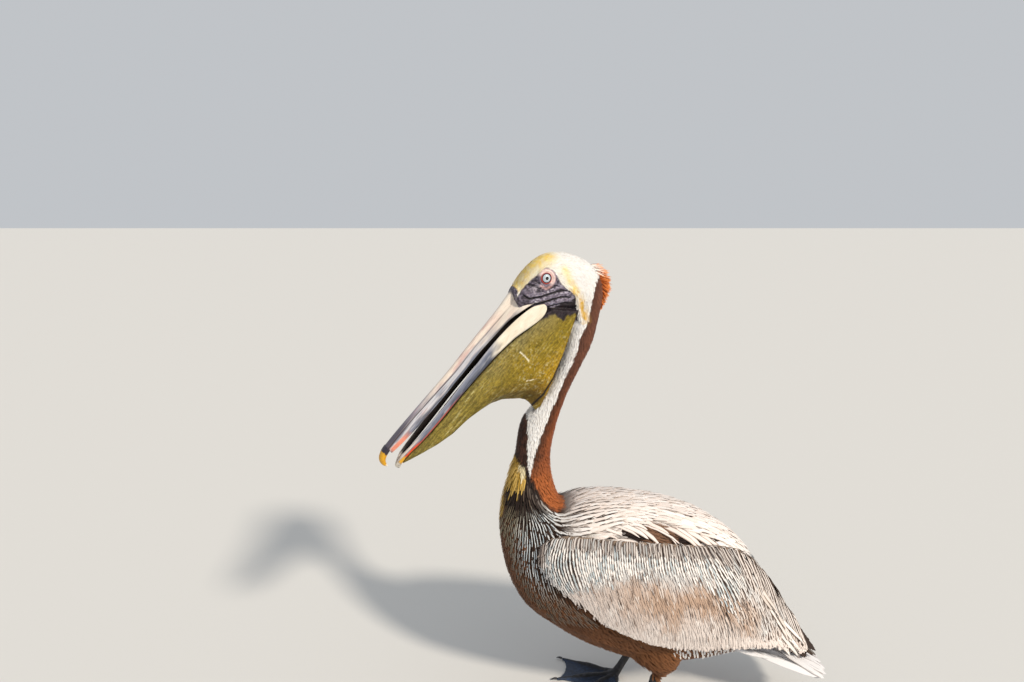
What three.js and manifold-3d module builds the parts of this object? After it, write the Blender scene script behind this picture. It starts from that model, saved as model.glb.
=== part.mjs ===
// A standing brown pelican at life size, as a still museum model.
// Millimetres, +Z up. The bird faces -Y and its left side is +X. Its head is turned to its left.
// The flesh is one run of cross-sections from rump to forehead, parted by thin flat gaps into
// trunk, neck and head. Wings, legs, tail, bill and pouch are solids of their own around it.

import * as THREE from "three";
import { mergeVertices } from "three/addons/utils/BufferGeometryUtils.js";
import Module from "manifold-3d";

const wasm = await Module();
wasm.setup();

// ---- Driving dimensions ----------------------------------------------------------------------

const GAP = 0.3;                 // clearance between pieces that touch
const HEAD_TURN = 20;            // degrees, head and bill turned to the left
const HEAD_PIVOT_Y = -110;       // the upright axis that the head turns about
const BILL_PITCH = 48.7;         // degrees, bill pointing below the horizon
const BILL_ROOT = [-92, 687];    // top of the bill's base, measured from the pivot axis, and up
const STANCE = 51;               // half the distance between the feet
const LEG_PLACES = {             // how far back each foot's joint and each heel stand
  left: { foot: 10, heel: 33 },
  right: { foot: -12, heel: 22 },
};
const EYE_RADIUS = 9;
const EYE_PLACE = [24.3, -49.5, 705];
const WING_TIP_THICK = 2.6;      // stiff feathers, as solids
const TAIL_THICK = 3;
const WEB_THICK = 1.9;
const WEB_LIFT = 0.8;            // underside of the web over the ground

const TRUNK_POINTS = 24;         // points round a section
const NECK_POINTS = 18;
const HEAD_POINTS = 20;

// Where one piece of the flesh ends and the next begins, counted in rows of FLESH.
const CUTS = {
  rump: 0, neckBase: 12.5, neckMiddle: 16, neckUpper: 19, headBase: 22.4, billBase: 32,
};

// Cross-sections of the flesh, from the rump forward and up. Each row has the point on the back
// line, the point on the belly line, the half width, and how far the head's turn has come in.
// From the neck up, distances run from the head's pivot axis.
const FLESH = [
  // back y,  z    belly y,   z   half  turn
  [ 246, 139,     230, 104,   20, 0],      // root of the tail
  [ 226, 194,     196,  97,   36, 0],
  [ 192, 254,     152,  90,   53, 0],      // rump
  [ 150, 300,     106,  83,   71, 0],
  [  97, 332,      56,  80,   82, 0],      // thighs
  [  42, 350,      10,  82,   87, 0],
  [ -14, 359,     -44,  99,   88, 0],      // widest
  [ -60, 361,     -93, 122,   87, 0],
  [ -88, 358,    -137, 151,   83, 0],      // shoulders
  [-102, 354,    -171, 177,   78, 0],
  [-110, 351,    -194, 213,   72, 0],      // breast
  [-116, 351,    -209, 258,   65, 0],
  [-121, 357,    -215, 305,   55, 0],      // base of the neck
  [-126, 370,    -213, 345,   45, 0],
  [-132, 390,    -203, 384,   36, 0],
  [-135, 410,    -196, 410,   31, 0],
  [-135, 432,    -190, 432,   28, 0],
  [-131, 456,    -187, 456,   26.5, 0],    // middle of the neck
  [-124, 485,    -180, 485,   26, 0],
  [-111, 524,    -160, 511,   25.5, 0],
  [ -91, 568,    -136, 550,   24.5, 0.15],
  [ -74, 603,    -119, 592,   24, 0.5],
  [ -64, 640,    -111, 634,   25, 0.9],    // top of the neck
  [ -57, 676,    -108, 652,   27.5, 1],
  [ -61, 700,    -116, 655,   29.5, 1],    // nape
  [ -74, 719,    -126, 655,   31, 1],
  [ -96, 733,    -138, 655,   32.5, 1],
  [-125, 741,    -150, 655,   33, 1],      // crown
  [-150, 738,    -160, 656,   32, 1],      // eyes
  [-170, 727,    -172, 657,   28.5, 1],
  [-186, 711,    -182, 658,   25, 1],      // lores
  [-197, 696,    -190, 657,   22, 1],
  [-203, 686,    -195, 656,   20, 1],      // base of the bill
];

// Folded left wing: lower edge, upper edge, swell of the outer face, and depth towards the body.
const WING = [
  // lower x, y, z        upper x, y, z        swell  depth
  [  68, -157, 292,        68, -157, 306,        1,    6],   // wrist
  [  74, -151, 270,        73, -147, 316,        8,   20],
  [  79, -126, 239,        76, -122, 325,       13,   26],
  [  83,  -88, 210,        76,  -80, 325,       16,   30],
  [  86,  -40, 181,        77,  -30, 320,       18,   34],
  [  87,   10, 159,        75,   24, 316,       18,   34],
  [  86,   60, 147,        69,   82, 309,       17,   34],
  [  83,  112, 143,        54,  128, 300,       17,   34],   // elbow
  [  77,  164, 144,        32,  168, 279,       17,   32],
  [  65,  206, 136,        13,  207, 236,       15,   26],
  [  51,  238, 122,         6,  241, 187,       10,   12],
  [  37,  262, 107,         6,  264, 152,        5,    6],
  [  26,  280,  97,         8,  284, 120,        2,    3],   // long feathers
];
const WING_EDGE_DEPTHS = [0.16, 0.42];   // share of the depth left at the lower and upper edges

// ---- Small tools for shapes ------------------------------------------------------------------

const radians = THREE.MathUtils.degToRad;
const lerp = THREE.MathUtils.lerp;
const clamp = THREE.MathUtils.clamp;
const bump = (t) => Math.sin(Math.PI * clamp(t, 0, 1));

// A smooth value between rows of numbers, read at a place counted in rows.
function smoothRow(rows, place) {
  const last = rows.length - 1;
  const at = clamp(place, 0, last);
  const i = Math.min(Math.floor(at), last - 1);
  const t = at - i;
  const before = rows[Math.max(i - 1, 0)];
  const after = rows[Math.min(i + 2, last)];
  return rows[i].map((a, k) => {
    const b = rows[i + 1][k];
    const slopeA = (b - before[k]) / 2;
    const slopeB = (after[k] - a) / 2;
    const t2 = t * t;
    const t3 = t2 * t;
    return (2 * t3 - 3 * t2 + 1) * a + (t3 - 2 * t2 + t) * slopeA
      + (3 * t2 - 2 * t3) * b + (t3 - t2) * slopeB;
  });
}

// A closed surface through rings of equal point counts, with a flat cap on both ends.
function loft(rings) {
  const around = rings[0].length;
  const points = [];
  for (const ring of rings) {
    points.push(...ring);
  }
  const index = [];
  for (let i = 0; i + 1 < rings.length; i += 1) {
    for (let k = 0; k < around; k += 1) {
      const a = i * around + k;
      const b = i * around + (k + 1) % around;
      index.push(a, b, b + around, a, b + around, a + around);
    }
  }
  for (const [start, flip] of [[0, true], [(rings.length - 1) * around, false]]) {
    const ring = points.slice(start, start + around);
    const middle = ring.reduce((sum, p) => sum.add(p), new THREE.Vector3()).divideScalar(around);
    const centre = points.push(middle) - 1;
    for (let k = 0; k < around; k += 1) {
      const a = start + k;
      const b = start + (k + 1) % around;
      index.push(...(flip ? [centre, b, a] : [centre, a, b]));
    }
  }
  const geometry = new THREE.BufferGeometry().setFromPoints(points);
  geometry.setIndex(index);
  return faceOutwards(geometry);
}

// Turns the faces over when they enclose a negative volume.
function faceOutwards(geometry) {
  const place = geometry.attributes.position;
  const index = geometry.index.array;
  const corner = [new THREE.Vector3(), new THREE.Vector3(), new THREE.Vector3()];
  let volume = 0;
  for (let i = 0; i < index.length; i += 3) {
    corner.forEach((v, k) => v.fromBufferAttribute(place, index[i + k]));
    volume += corner[0].dot(corner[1].clone().cross(corner[2]));
  }
  if (volume < 0) {
    for (let i = 0; i < index.length; i += 3) {
      [index[i], index[i + 1]] = [index[i + 1], index[i]];
    }
  }
  return geometry;
}

function toSolid(source) {
  const bare = source.clone();
  bare.deleteAttribute("normal");
  bare.deleteAttribute("uv");
  const merged = mergeVertices(bare, 1e-4);
  return new wasm.Manifold(new wasm.Mesh({
    numProp: 3,
    vertProperties: new Float32Array(merged.attributes.position.array),
    triVerts: new Uint32Array(merged.index.array),
  }));
}

function toGeometry(solid) {
  const mesh = solid.getMesh();
  const geometry = new THREE.BufferGeometry();
  const places = [];
  for (let i = 0; i < mesh.vertProperties.length; i += mesh.numProp) {
    places.push(mesh.vertProperties[i], mesh.vertProperties[i + 1], mesh.vertProperties[i + 2]);
  }
  geometry.setAttribute("position", new THREE.Float32BufferAttribute(places, 3));
  geometry.setIndex([...mesh.triVerts]);
  return geometry;
}

const cutAway = (body, ...tools) => toGeometry(
  tools.reduce((rest, tool) => rest.subtract(toSolid(tool)), toSolid(body)));

const joinUp = (bodies) => toGeometry(
  bodies.slice(1).reduce((sum, body) => sum.add(toSolid(body)), toSolid(bodies[0])));

function mirrored(geometry) {
  const copy = geometry.clone().scale(-1, 1, 1);
  return faceOutwards(copy);
}

// ---- Flesh -----------------------------------------------------------------------------------

// A rounded ring between a back point and a belly point. Squareness 2 is an ellipse.
function bodyRing(back, belly, half, turn, squareTop, squareLow, grow, around) {
  const middle = back.clone().add(belly).multiplyScalar(0.5);
  const reach = back.clone().sub(belly);
  const tall = reach.length() / 2 + grow;
  reach.normalize();
  const ring = [];
  for (let k = 0; k < around; k += 1) {
    const angle = (k / around) * 2 * Math.PI;
    const c = Math.cos(angle);
    const s = Math.sin(angle);
    const power = 2 / (c > 0 ? squareTop : squareLow);
    const along = Math.sign(c) * Math.abs(c) ** power * tall;
    const across = Math.sign(s) * Math.abs(s) ** power * (half + grow);
    const point = middle.clone().addScaledVector(reach, along);
    point.x += across;
    point.y -= HEAD_PIVOT_Y;
    point.applyAxisAngle(new THREE.Vector3(0, 0, 1), radians(HEAD_TURN * turn));
    point.y += HEAD_PIVOT_Y;
    ring.push(point);
  }
  return ring;
}

// The section of the flesh at a place counted in rows of FLESH.
function fleshRing(place, around, grow = 0) {
  const [backY, backZ, bellyY, bellyZ, half, turn] = smoothRow(FLESH, place);
  // The back is broad and flat over the shoulders, and round again at the rump and on the neck.
  const trunkness = clamp((CUTS.neckBase - place) / 3, 0, 1) * clamp(place / 4, 0.2, 1);
  const back = new THREE.Vector3(0, backY, backZ);
  const belly = new THREE.Vector3(0, bellyY, bellyZ);
  const squareTop = lerp(2.1, 2.55, trunkness);
  const squareLow = 2.1;
  return bodyRing(back, belly, half, clamp(turn, 0, 1), squareTop, squareLow, grow, around);
}

// A length of the flesh between two places, with its flat ends drawn in by half the gap.
function fleshPiece(from, to, steps, around, grow = 0) {
  const rings = [];
  for (let i = 0; i <= steps; i += 1) {
    rings.push(fleshRing(lerp(from, to, i / steps), around, grow));
  }
  drawIn(rings[0], rings[1], GAP / 2 - grow);
  drawIn(rings[steps], rings[steps - 1], GAP / 2 - grow);
  return loft(rings);
}

// Moves a flat end ring towards its neighbour, square to its own plane.
function drawIn(ring, neighbour, distance) {
  const quarter = Math.floor(ring.length / 4);
  const one = ring[quarter].clone().sub(ring[0]);
  const two = ring[quarter * 2].clone().sub(ring[0]);
  const square = one.cross(two).normalize();
  const inward = neighbour[quarter].clone().sub(ring[quarter]);
  square.multiplyScalar(Math.sign(square.dot(inward)) * distance);
  ring.forEach((point) => point.add(square));
}

const trunkShape = (grow) => fleshPiece(CUTS.rump, CUTS.neckBase, 22, TRUNK_POINTS, grow);
const neckLowerShape = () => fleshPiece(CUTS.neckBase, CUTS.neckMiddle, 6, NECK_POINTS);
const neckMiddleShape = (grow) => fleshPiece(CUTS.neckMiddle, CUTS.neckUpper, 6, NECK_POINTS, grow);
const neckUpperShape = (grow) => fleshPiece(CUTS.neckUpper, CUTS.headBase, 8, NECK_POINTS, grow);
const headShape = (grow) => fleshPiece(CUTS.headBase, CUTS.billBase, 15, HEAD_POINTS, grow);

// Puts a shape that was made around the head's own axes into the bird's place.
function ontoHead(geometry) {
  geometry.rotateZ(radians(HEAD_TURN));
  geometry.translate(0, HEAD_PIVOT_Y, 0);
  return geometry;
}

function eyeShape(side, grow = 0) {
  const ball = new THREE.SphereGeometry(EYE_RADIUS + grow, 12, 7);
  ball.rotateZ(Math.PI / 2);
  ball.translate(side * EYE_PLACE[0], EYE_PLACE[1], EYE_PLACE[2]);
  return ontoHead(ball);
}

// The short brush of feathers at the back of the crown, with a ragged rear edge.
function crestShape() {
  const top = 718;
  const foot = 684;
  const rear = 62;
  const tufts = 5;
  const wide = 13;
  const outline = new THREE.Shape();
  outline.moveTo(30, top);
  for (let i = 0; i < tufts; i += 1) {
    const t = i / tufts;
    const z = lerp(top, foot, t);
    outline.lineTo(rear - 4 * t, z - 1);
    outline.lineTo(rear - 5 - 2 * t, lerp(top, foot, t + 0.5 / tufts) - 1);
  }
  outline.lineTo(40, foot);
  outline.closePath();
  const brush = new THREE.ExtrudeGeometry(outline, { depth: wide, bevelEnabled: false });
  brush.translate(0, 0, -wide / 2);
  brush.rotateY(Math.PI / 2);
  brush.rotateX(Math.PI / 2);
  return ontoHead(brush);
}

// ---- Bill and pouch --------------------------------------------------------------------------

// A point of the bill: distance from the base along it, height over its top line, and side.
function billPoint(along, over, side) {
  const pitch = radians(BILL_PITCH);
  const y = BILL_ROOT[0] - along * Math.cos(pitch) - over * Math.sin(pitch);
  const z = BILL_ROOT[1] - along * Math.sin(pitch) + over * Math.cos(pitch);
  return new THREE.Vector3(side, y, z);
}

// Upper half of the bill: distance along, ridge, edge of the mouth, half width of the mouth edge.
const UPPER_BILL = [
  [-22,   0, -42, 20],
  [  0,   0, -32, 20],
  [ 18,  -1, -26, 19.5],
  [ 36,  -2, -21, 19],
  [ 62,  -2, -18.5, 18.2],
  [100,  -2, -16.5, 17.2],
  [145,  -2.5, -16.5, 16.6],
  [190,  -1, -16, 16.2],
  [230,   0.5, -14.5, 15.6],
  [262,   1.5, -12.5, 13.8],
  [286,   1.5, -10.5, 9.5],
];

function upperBillShape() {
  const steps = 13;
  const rings = [];
  for (let i = 0; i <= steps; i += 1) {
    const [along, ridge, edge, half] = smoothRow(UPPER_BILL, (i / steps) * (UPPER_BILL.length - 1));
    const deep = ridge - edge;
    const right = [
      [1.0, ridge],
      [4.6, ridge - Math.min(deep * 0.16, 3.2)],
      [6.2, ridge - Math.min(deep * 0.5, 8.5)],
      [half * 0.82, edge + deep * 0.34],
      [half, edge + deep * 0.12],
      [half - 0.8, edge],
      [half - 3.4, edge + 1.2],
      [half * 0.35, edge + Math.min(deep * 0.3, 5)],
    ];
    const left = right.map(([side, over]) => [-side, over]).reverse();
    rings.push([...right, ...left].map(([side, over]) => billPoint(along, over, side)));
  }
  return ontoHead(loft(rings));
}

// The hooked nail that ends the upper bill.
function nailShape() {
  const sections = [
    // along, over, half height, half width, lean of the section
    [286 + GAP, -3.4, 5.3, 8.6, 0],
    [295, -4.6, 5.2, 8.0, 12],
    [302, -8.2, 4.8, 6.8, 42],
    [305.5, -14, 3.2, 4.6, 78],
    [306, -20.5, 1.0, 1.6, 96],
  ];
  const around = 10;
  const rings = sections.map(([along, over, tall, half, lean]) => {
    const ring = [];
    for (let k = 0; k < around; k += 1) {
      const angle = (k / around) * 2 * Math.PI;
      const up = Math.cos(angle) * tall;
      const out = Math.sin(angle) * half;
      const tilt = radians(lean);
      ring.push(billPoint(along + up * Math.sin(tilt), over + up * Math.cos(tilt), out));
    }
    return ring;
  });
  return ontoHead(loft(rings));
}

// Lower half of the bill, one bar on each side, joined at the tip. Distance along, upper edge,
// lower edge, half the distance between the two bars, and the thickness of a bar.
const LOWER_BILL = [
  [-12, -43, -55, 22.5, 4.2],
  [  8, -32, -54, 22, 5],
  [ 28, -27.5, -50, 21.2, 5],
  [ 52, -24.5, -43.5, 20.2, 4.8],
  [ 84, -23, -39, 19, 4.4],
  [124, -23.5, -36.5, 18, 4.2],
  [168, -25, -35, 17, 4.2],
  [210, -25.2, -35, 15.6, 4.2],
  [246, -25, -34, 13, 4.4],
  [274, -24.5, -31.5, 8.6, 5.4],
  [290, -25.5, -32.5, 3.2, 6.4],
];

function lowerBillShape() {
  const rings = [];
  const steps = 13;
  const last = LOWER_BILL.length - 1;
  const barRing = (step, sign) => {
    const [along, top, low, half, thick] = smoothRow(LOWER_BILL, (step / steps) * last);
    const corners = [
      [-0.5, top - 1.4], [0, top], [0.5, top - 1.4], [0.5, low + 2.4], [0.1, low], [-0.4, low + 1.2],
    ];
    return corners.map(([share, over]) => billPoint(along, over, sign * (half + share * thick)));
  };
  for (let i = 0; i <= steps; i += 1) {
    rings.push(barRing(i, 1));
  }
  // The bars meet in a blunt tip that turns down.
  for (const side of [1.9, 0, -1.9]) {
    const ahead = 293.9 - Math.abs(side) * 0.2;
    const corners = [[-27, 0], [-25.5, 1.2], [-27.5, 5], [-31, 8.4], [-36, 9.5], [-34, 1.6]];
    rings.push(corners.map(([over, reach]) => billPoint(ahead + reach, over, side)));
  }
  for (let i = steps; i >= 0; i -= 1) {
    rings.push(barRing(i, -1));
  }
  return ontoHead(loft(rings));
}

// The pouch hangs from the two bars: for each row of LOWER_BILL, its lowest point and its bulge.
const POUCH_LOW = [
  // y,   z, half width of the bulge
  [ -60, 511, 27],
  [ -67, 519, 28],
  [ -78, 523, 28],
  [ -95, 524, 27.5],
  [-116, 523, 26.5],
  [-137, 513, 24.5],
  [-163, 497, 22],
  [-189, 475.5, 18],
  [-217, 462, 14],
  [-241, 451.5, 9],
  [-257, 444.5, 3.5],
];
// Behind the bars it runs back over the sides of the throat: top y, z, low y, z, top half, bulge.
const POUCH_REAR = [
  [  6, 655,   -52, 502,   23.5, 24.5],
  [-20, 657,   -56, 506,   24, 26],
];
const POUCH_CLEARANCE = 1.7;       // below the bars

function pouchShape() {
  const hung = LOWER_BILL.map(([along, , low, half, thick], i) => {
    const top = billPoint(along, low - POUCH_CLEARANCE, 0);
    const [lowY, lowZ, bulge] = POUCH_LOW[i];
    return [top.y, top.z, lowY, lowZ, half + thick * 0.3, bulge];
  });
  const rows = [...POUCH_REAR, ...hung];
  const steps = 15;
  const levels = 6;
  const rings = [];
  for (let i = 0; i <= steps; i += 1) {
    const row = smoothRow(rows, (i / steps) * (rows.length - 1));
    const [topY, topZ, lowY, lowZ, topHalf, bulge] = row;
    const right = [];
    for (let k = 0; k <= levels; k += 1) {
      const t = k / levels;
      const belly = lerp(topHalf, bulge, bump(clamp(t / 0.7, 0, 1) * 0.5));
      const keel = Math.sqrt(Math.max(1 - clamp((t - 0.42) / 0.58, 0, 1) ** 2.3, 0));
      right.push([Math.max(belly * keel, 0.4), lerp(topY, lowY, t), lerp(topZ, lowZ, t)]);
    }
    const left = right.map(([x, y, z]) => [-x, y, z]).reverse();
    rings.push([...right, ...left].map(([x, y, z]) => new THREE.Vector3(x, y, z)));
  }
  return ontoHead(loft(rings));
}

// ---- Wings and tail --------------------------------------------------------------------------

function wingShape() {
  const steps = 16;
  const across = 6;
  const rings = [];
  for (let i = 0; i <= steps; i += 1) {
    const place = (i / steps) * (WING.length - 1);
    const [lx, ly, lz, ux, uy, uz, swell, depth] = smoothRow(WING, place);
    const low = new THREE.Vector3(lx, ly, lz);
    const high = new THREE.Vector3(ux, uy, uz);
    const rise = high.clone().sub(low).normalize();
    const out = new THREE.Vector3(rise.z, 0, -rise.x).normalize();
    const outer = [];
    const inner = [];
    for (let k = 0; k <= across; k += 1) {
      const t = k / across;
      const spot = low.clone().lerp(high, t);
      const round = bump(t) ** 0.7;
      const rim = lerp(WING_EDGE_DEPTHS[0], WING_EDGE_DEPTHS[1], t);
      outer.push(spot.clone().addScaledVector(out, swell * round));
      inner.push(spot.clone().addScaledVector(out, -depth * Math.max(rim, round * 0.8)));
    }
    rings.push([...outer, ...inner.reverse()]);
  }
  return loft(rings);
}

// A stiff feather: a flat blade with a blunt point, along a line from root to tip.
function bladeShape(root, tip, rootHalf, broadHalf, facing, thick) {
  const along = tip.clone().sub(root);
  const side = along.clone().normalize().cross(facing).normalize();
  const up = side.clone().cross(along.clone().normalize()).normalize();
  const shares = [0, 0.7, 0.9, 1];
  const halves = [rootHalf, broadHalf, broadHalf * 0.7, broadHalf * 0.15];
  const rings = shares.map((share, i) => {
    const centre = root.clone().addScaledVector(along, share);
    const corners = [[-1, -0.35], [-1, 0.35], [0, 0.5], [1, 0.35], [1, -0.35], [0, -0.5]];
    return corners.map(([a, b]) => centre.clone()
      .addScaledVector(side, a * halves[i])
      .addScaledVector(up, b * thick));
  });
  return loft(rings);
}

// The long flight feathers that stand out behind the folded wing.
function longFeatherShapes() {
  const blades = 3;
  const shapes = [];
  for (let i = 0; i < blades; i += 1) {
    const t = i / (blades - 1);
    const root = new THREE.Vector3(lerp(13, 36, t), lerp(268, 254, t), lerp(132, 115, t));
    const tip = new THREE.Vector3(lerp(8, 29, t), lerp(305, 281, t), lerp(87, 93, t));
    const facing = new THREE.Vector3(0.75, 0.3, 0.6);
    shapes.push(bladeShape(root, tip, 7, 7, facing, WING_TIP_THICK));
  }
  return shapes;
}

function tailShape() {
  const feathers = 7;
  const spread = 21;
  const shapes = [];
  for (let i = 0; i < feathers; i += 1) {
    const t = (i / (feathers - 1)) * 2 - 1;
    const fan = radians(spread * t);
    const length = 112 - 12 * t * t;
    const pitch = radians(27 + 1.5 * t * t);
    const root = new THREE.Vector3(22 * t, 214, 120 - 3 * t * t + (i % 2) * 0.9);
    const reach = new THREE.Vector3(
      Math.sin(fan) * Math.cos(pitch), Math.cos(fan) * Math.cos(pitch), -Math.sin(pitch));
    const tip = root.clone().addScaledVector(reach, length);
    const facing = new THREE.Vector3(0.25 * t, 0.4, 0.9);
    shapes.push(bladeShape(root, tip, 8, 10, facing, TAIL_THICK));
  }
  return joinUp(shapes);
}

// ---- Legs and feet ---------------------------------------------------------------------------

const FOOT_JOINT_Z = 9;
const HEEL_Z = 72;
const LEG_SPLIT = 15;            // height where the foot's knuckle meets the shank
const TOES = [
  // name, length, angle outward from straight ahead, root half width, tip half width
  ["outer", 112, 24, 5.2, 3.4],
  ["middle", 117, -7, 5.4, 3.4],
  ["inner", 80, -33, 5, 3.3],
  ["hind", 40, -82, 4.4, 3],
];
const CLAW_LENGTH = 11;

// The level direction that a toe points in.
function toeReach(angle) {
  return new THREE.Vector3(Math.sin(radians(angle)), -Math.cos(radians(angle)), 0);
}

// A rounded bar through centres of given half sizes, each ring square to the run.
function barShape(centres, halves, around) {
  const rings = centres.map((centre, i) => {
    const before = centres[Math.max(i - 1, 0)];
    const after = centres[Math.min(i + 1, centres.length - 1)];
    const run = after.clone().sub(before).normalize();
    const side = new THREE.Vector3(1, 0, 0).addScaledVector(run, -run.x).normalize();
    const front = run.clone().cross(side).normalize();
    const ring = [];
    for (let k = 0; k < around; k += 1) {
      const angle = (k / around) * 2 * Math.PI;
      ring.push(centre.clone()
        .addScaledVector(side, Math.cos(angle) * halves[i][0])
        .addScaledVector(front, Math.sin(angle) * halves[i][1]));
    }
    return ring;
  });
  return loft(rings);
}

// A toe lies flat on the ground, with a swelling at each joint.
function toeShape(joint, length, angle, rootHalf, tipHalf) {
  const reach = toeReach(angle);
  const side = new THREE.Vector3(-reach.y, reach.x, 0);
  const start = new THREE.Vector3(joint.x, joint.y, 0);
  const steps = 4;
  const rings = [];
  for (let i = 0; i <= steps; i += 1) {
    const t = i / steps;
    const knuckle = 1 + 0.14 * Math.cos(t * 4 * Math.PI);
    const half = lerp(rootHalf, tipHalf, t) * (i === steps ? 0.7 : knuckle);
    const tall = lerp(rootHalf * 1.9, tipHalf * 1.75, t) * (i === steps ? 0.8 : knuckle);
    const centre = start.clone().addScaledVector(reach, (length - CLAW_LENGTH) * t);
    const corners = [
      [-0.7, 0], [0.7, 0], [1, tall * 0.45], [0.45, tall], [-0.45, tall], [-1, tall * 0.45],
    ];
    rings.push(corners.map(([a, up]) => {
      const point = centre.clone().addScaledVector(side, a * half);
      point.z = up;
      return point;
    }));
  }
  return loft(rings);
}

// The web joins all four toes, with its free edge drawn in between their tips.
function webShape(joint) {
  const outline = new THREE.Shape();
  const hub = new THREE.Vector2(joint.x, joint.y);
  const tips = TOES.map(([, length, angle]) => {
    const reach = toeReach(angle);
    const far = length - CLAW_LENGTH - 3;
    return new THREE.Vector2(hub.x + reach.x * far, hub.y + reach.y * far);
  });
  outline.moveTo(hub.x + 3, hub.y + 3);
  outline.lineTo(tips[0].x, tips[0].y);
  for (let i = 1; i < tips.length; i += 1) {
    const between = tips[i - 1].clone().add(tips[i]).multiplyScalar(0.5).lerp(hub, 0.16);
    outline.quadraticCurveTo(between.x, between.y, tips[i].x, tips[i].y);
  }
  outline.closePath();
  const web = new THREE.ExtrudeGeometry(outline, {
    depth: WEB_THICK, bevelEnabled: false, curveSegments: 3,
  });
  web.translate(0, 0, WEB_LIFT);
  return web;
}

// The foot's joint, the heel above it and the line of the shank between them.
function legLine(side) {
  const joint = new THREE.Vector3(STANCE, LEG_PLACES[side].foot, FOOT_JOINT_Z);
  const heel = new THREE.Vector3(STANCE - 2, LEG_PLACES[side].heel, HEEL_Z);
  const run = heel.clone().sub(joint);
  const split = (LEG_SPLIT - FOOT_JOINT_Z) / run.z;
  return { joint, heel, run, split };
}

function footShape(side) {
  const { joint, run, split } = legLine(side);
  const parts = [];
  for (const [, length, angle, rootHalf, tipHalf] of TOES) {
    parts.push(toeShape(joint, length, angle, rootHalf, tipHalf));
  }
  const top = joint.clone().addScaledVector(run, split);
  const low = joint.clone().addScaledVector(run, -0.08);
  parts.push(webShape(joint));
  parts.push(barShape([low, joint, top], [[4.5, 4.5], [7, 8], [6, 7.4]], 8));
  return joinUp(parts);
}

function shankShape(side) {
  const { joint, run, split } = legLine(side);
  const places = [split + GAP / run.length(), 0.35, 0.75, 1.0, 1.1];
  const halves = [[6, 7.4], [4.6, 7], [4.8, 7.2], [6.6, 9.6], [5.6, 7.6]];
  const centres = places.map((share) => joint.clone().addScaledVector(run, share));
  return barShape(centres, halves, 8);
}

function thighShape(side) {
  const { joint, heel, run } = legLine(side);
  const foot = joint.clone().addScaledVector(run, 1.1 + GAP / run.length());
  const centres = [
    foot,
    foot.clone().addScaledVector(run, 0.1),
    new THREE.Vector3(STANCE - 3, heel.y + 4, 92),
    new THREE.Vector3(STANCE - 6, heel.y + 6, 112),
    new THREE.Vector3(STANCE - 10, 22, 150),
  ];
  const halves = [[8.5, 12], [13, 17], [20, 30], [27, 44], [26, 46]];
  return barShape(centres, halves, 14);
}

function clawShape(leg, length, angle) {
  const reach = toeReach(angle);
  const { joint } = legLine(leg);
  const start = new THREE.Vector3(joint.x, joint.y, 0)
    .addScaledVector(reach, length - CLAW_LENGTH + GAP);
  const side = new THREE.Vector3(-reach.y, reach.x, 0);
  const sections = [[0, 3.4, 2.1], [0.45, 4.0, 1.7], [0.8, 2.8, 1.1], [1, 1.2, 0.35]];
  const rings = sections.map(([share, height, half]) => {
    const centre = start.clone().addScaledVector(reach, CLAW_LENGTH * share);
    const ring = [];
    for (let k = 0; k < 6; k += 1) {
      const turn = (k / 6) * 2 * Math.PI;
      const point = centre.clone().addScaledVector(side, Math.cos(turn) * half);
      point.z = height + Math.sin(turn) * half;
      ring.push(point);
    }
    return ring;
  });
  return loft(rings);
}

// ---- Finishes --------------------------------------------------------------------------------

function finish(color, roughness = 0.75) {
  return new THREE.MeshStandardMaterial({ color, roughness, metalness: 0 });
}

const BROWN = "#6b4328";
const CHESTNUT = "#7a4632";
const CREAM = "#f7efdc";
const SILVER = "#ded2c8";
const HORN = "#e8dccb";
const POUCH_OLIVE = "#8d7a33";
const BLACK_SKIN = "#242226";
const NAIL_YELLOW = "#e0a818";
const CLAW_BLACK = "#1b191b";
const IRIS = "#dfe6ea";

// ---- The bird --------------------------------------------------------------------------------

const bird = new THREE.Group();
const group = new THREE.Group();
group.add(bird);

function place(name, geometry, material) {
  const mesh = new THREE.Mesh(geometry, material);
  mesh.name = name;
  bird.add(mesh);
}

const trunkGrown = trunkShape(GAP);
const neckMiddleGrown = neckMiddleShape(GAP);
const neckUpperGrown = neckUpperShape(GAP);
const headGrown = headShape(GAP);

place("trunk", trunkShape(0), finish(BROWN));
place("neck_lower", neckLowerShape(), finish(CHESTNUT));
place("neck_middle", neckMiddleShape(0), finish(CHESTNUT));
place("neck_upper", neckUpperShape(0), finish(CHESTNUT));
place("head", cutAway(headShape(0), eyeShape(1, GAP), eyeShape(-1, GAP)), finish(CREAM));
place("nape_crest", cutAway(crestShape(), headGrown, neckUpperGrown), finish(CREAM));
place("bill_upper", cutAway(upperBillShape(), headGrown), finish(HORN, 0.45));
place("bill_nail", nailShape(), finish(NAIL_YELLOW, 0.4));
place("bill_lower", cutAway(lowerBillShape(), headGrown), finish(HORN, 0.45));
const pouch = cutAway(pouchShape(), headGrown, neckUpperGrown, neckMiddleGrown);
place("pouch", pouch, finish(POUCH_OLIVE, 0.55));
place("tail", cutAway(tailShape(), trunkGrown), finish(SILVER));

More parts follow.
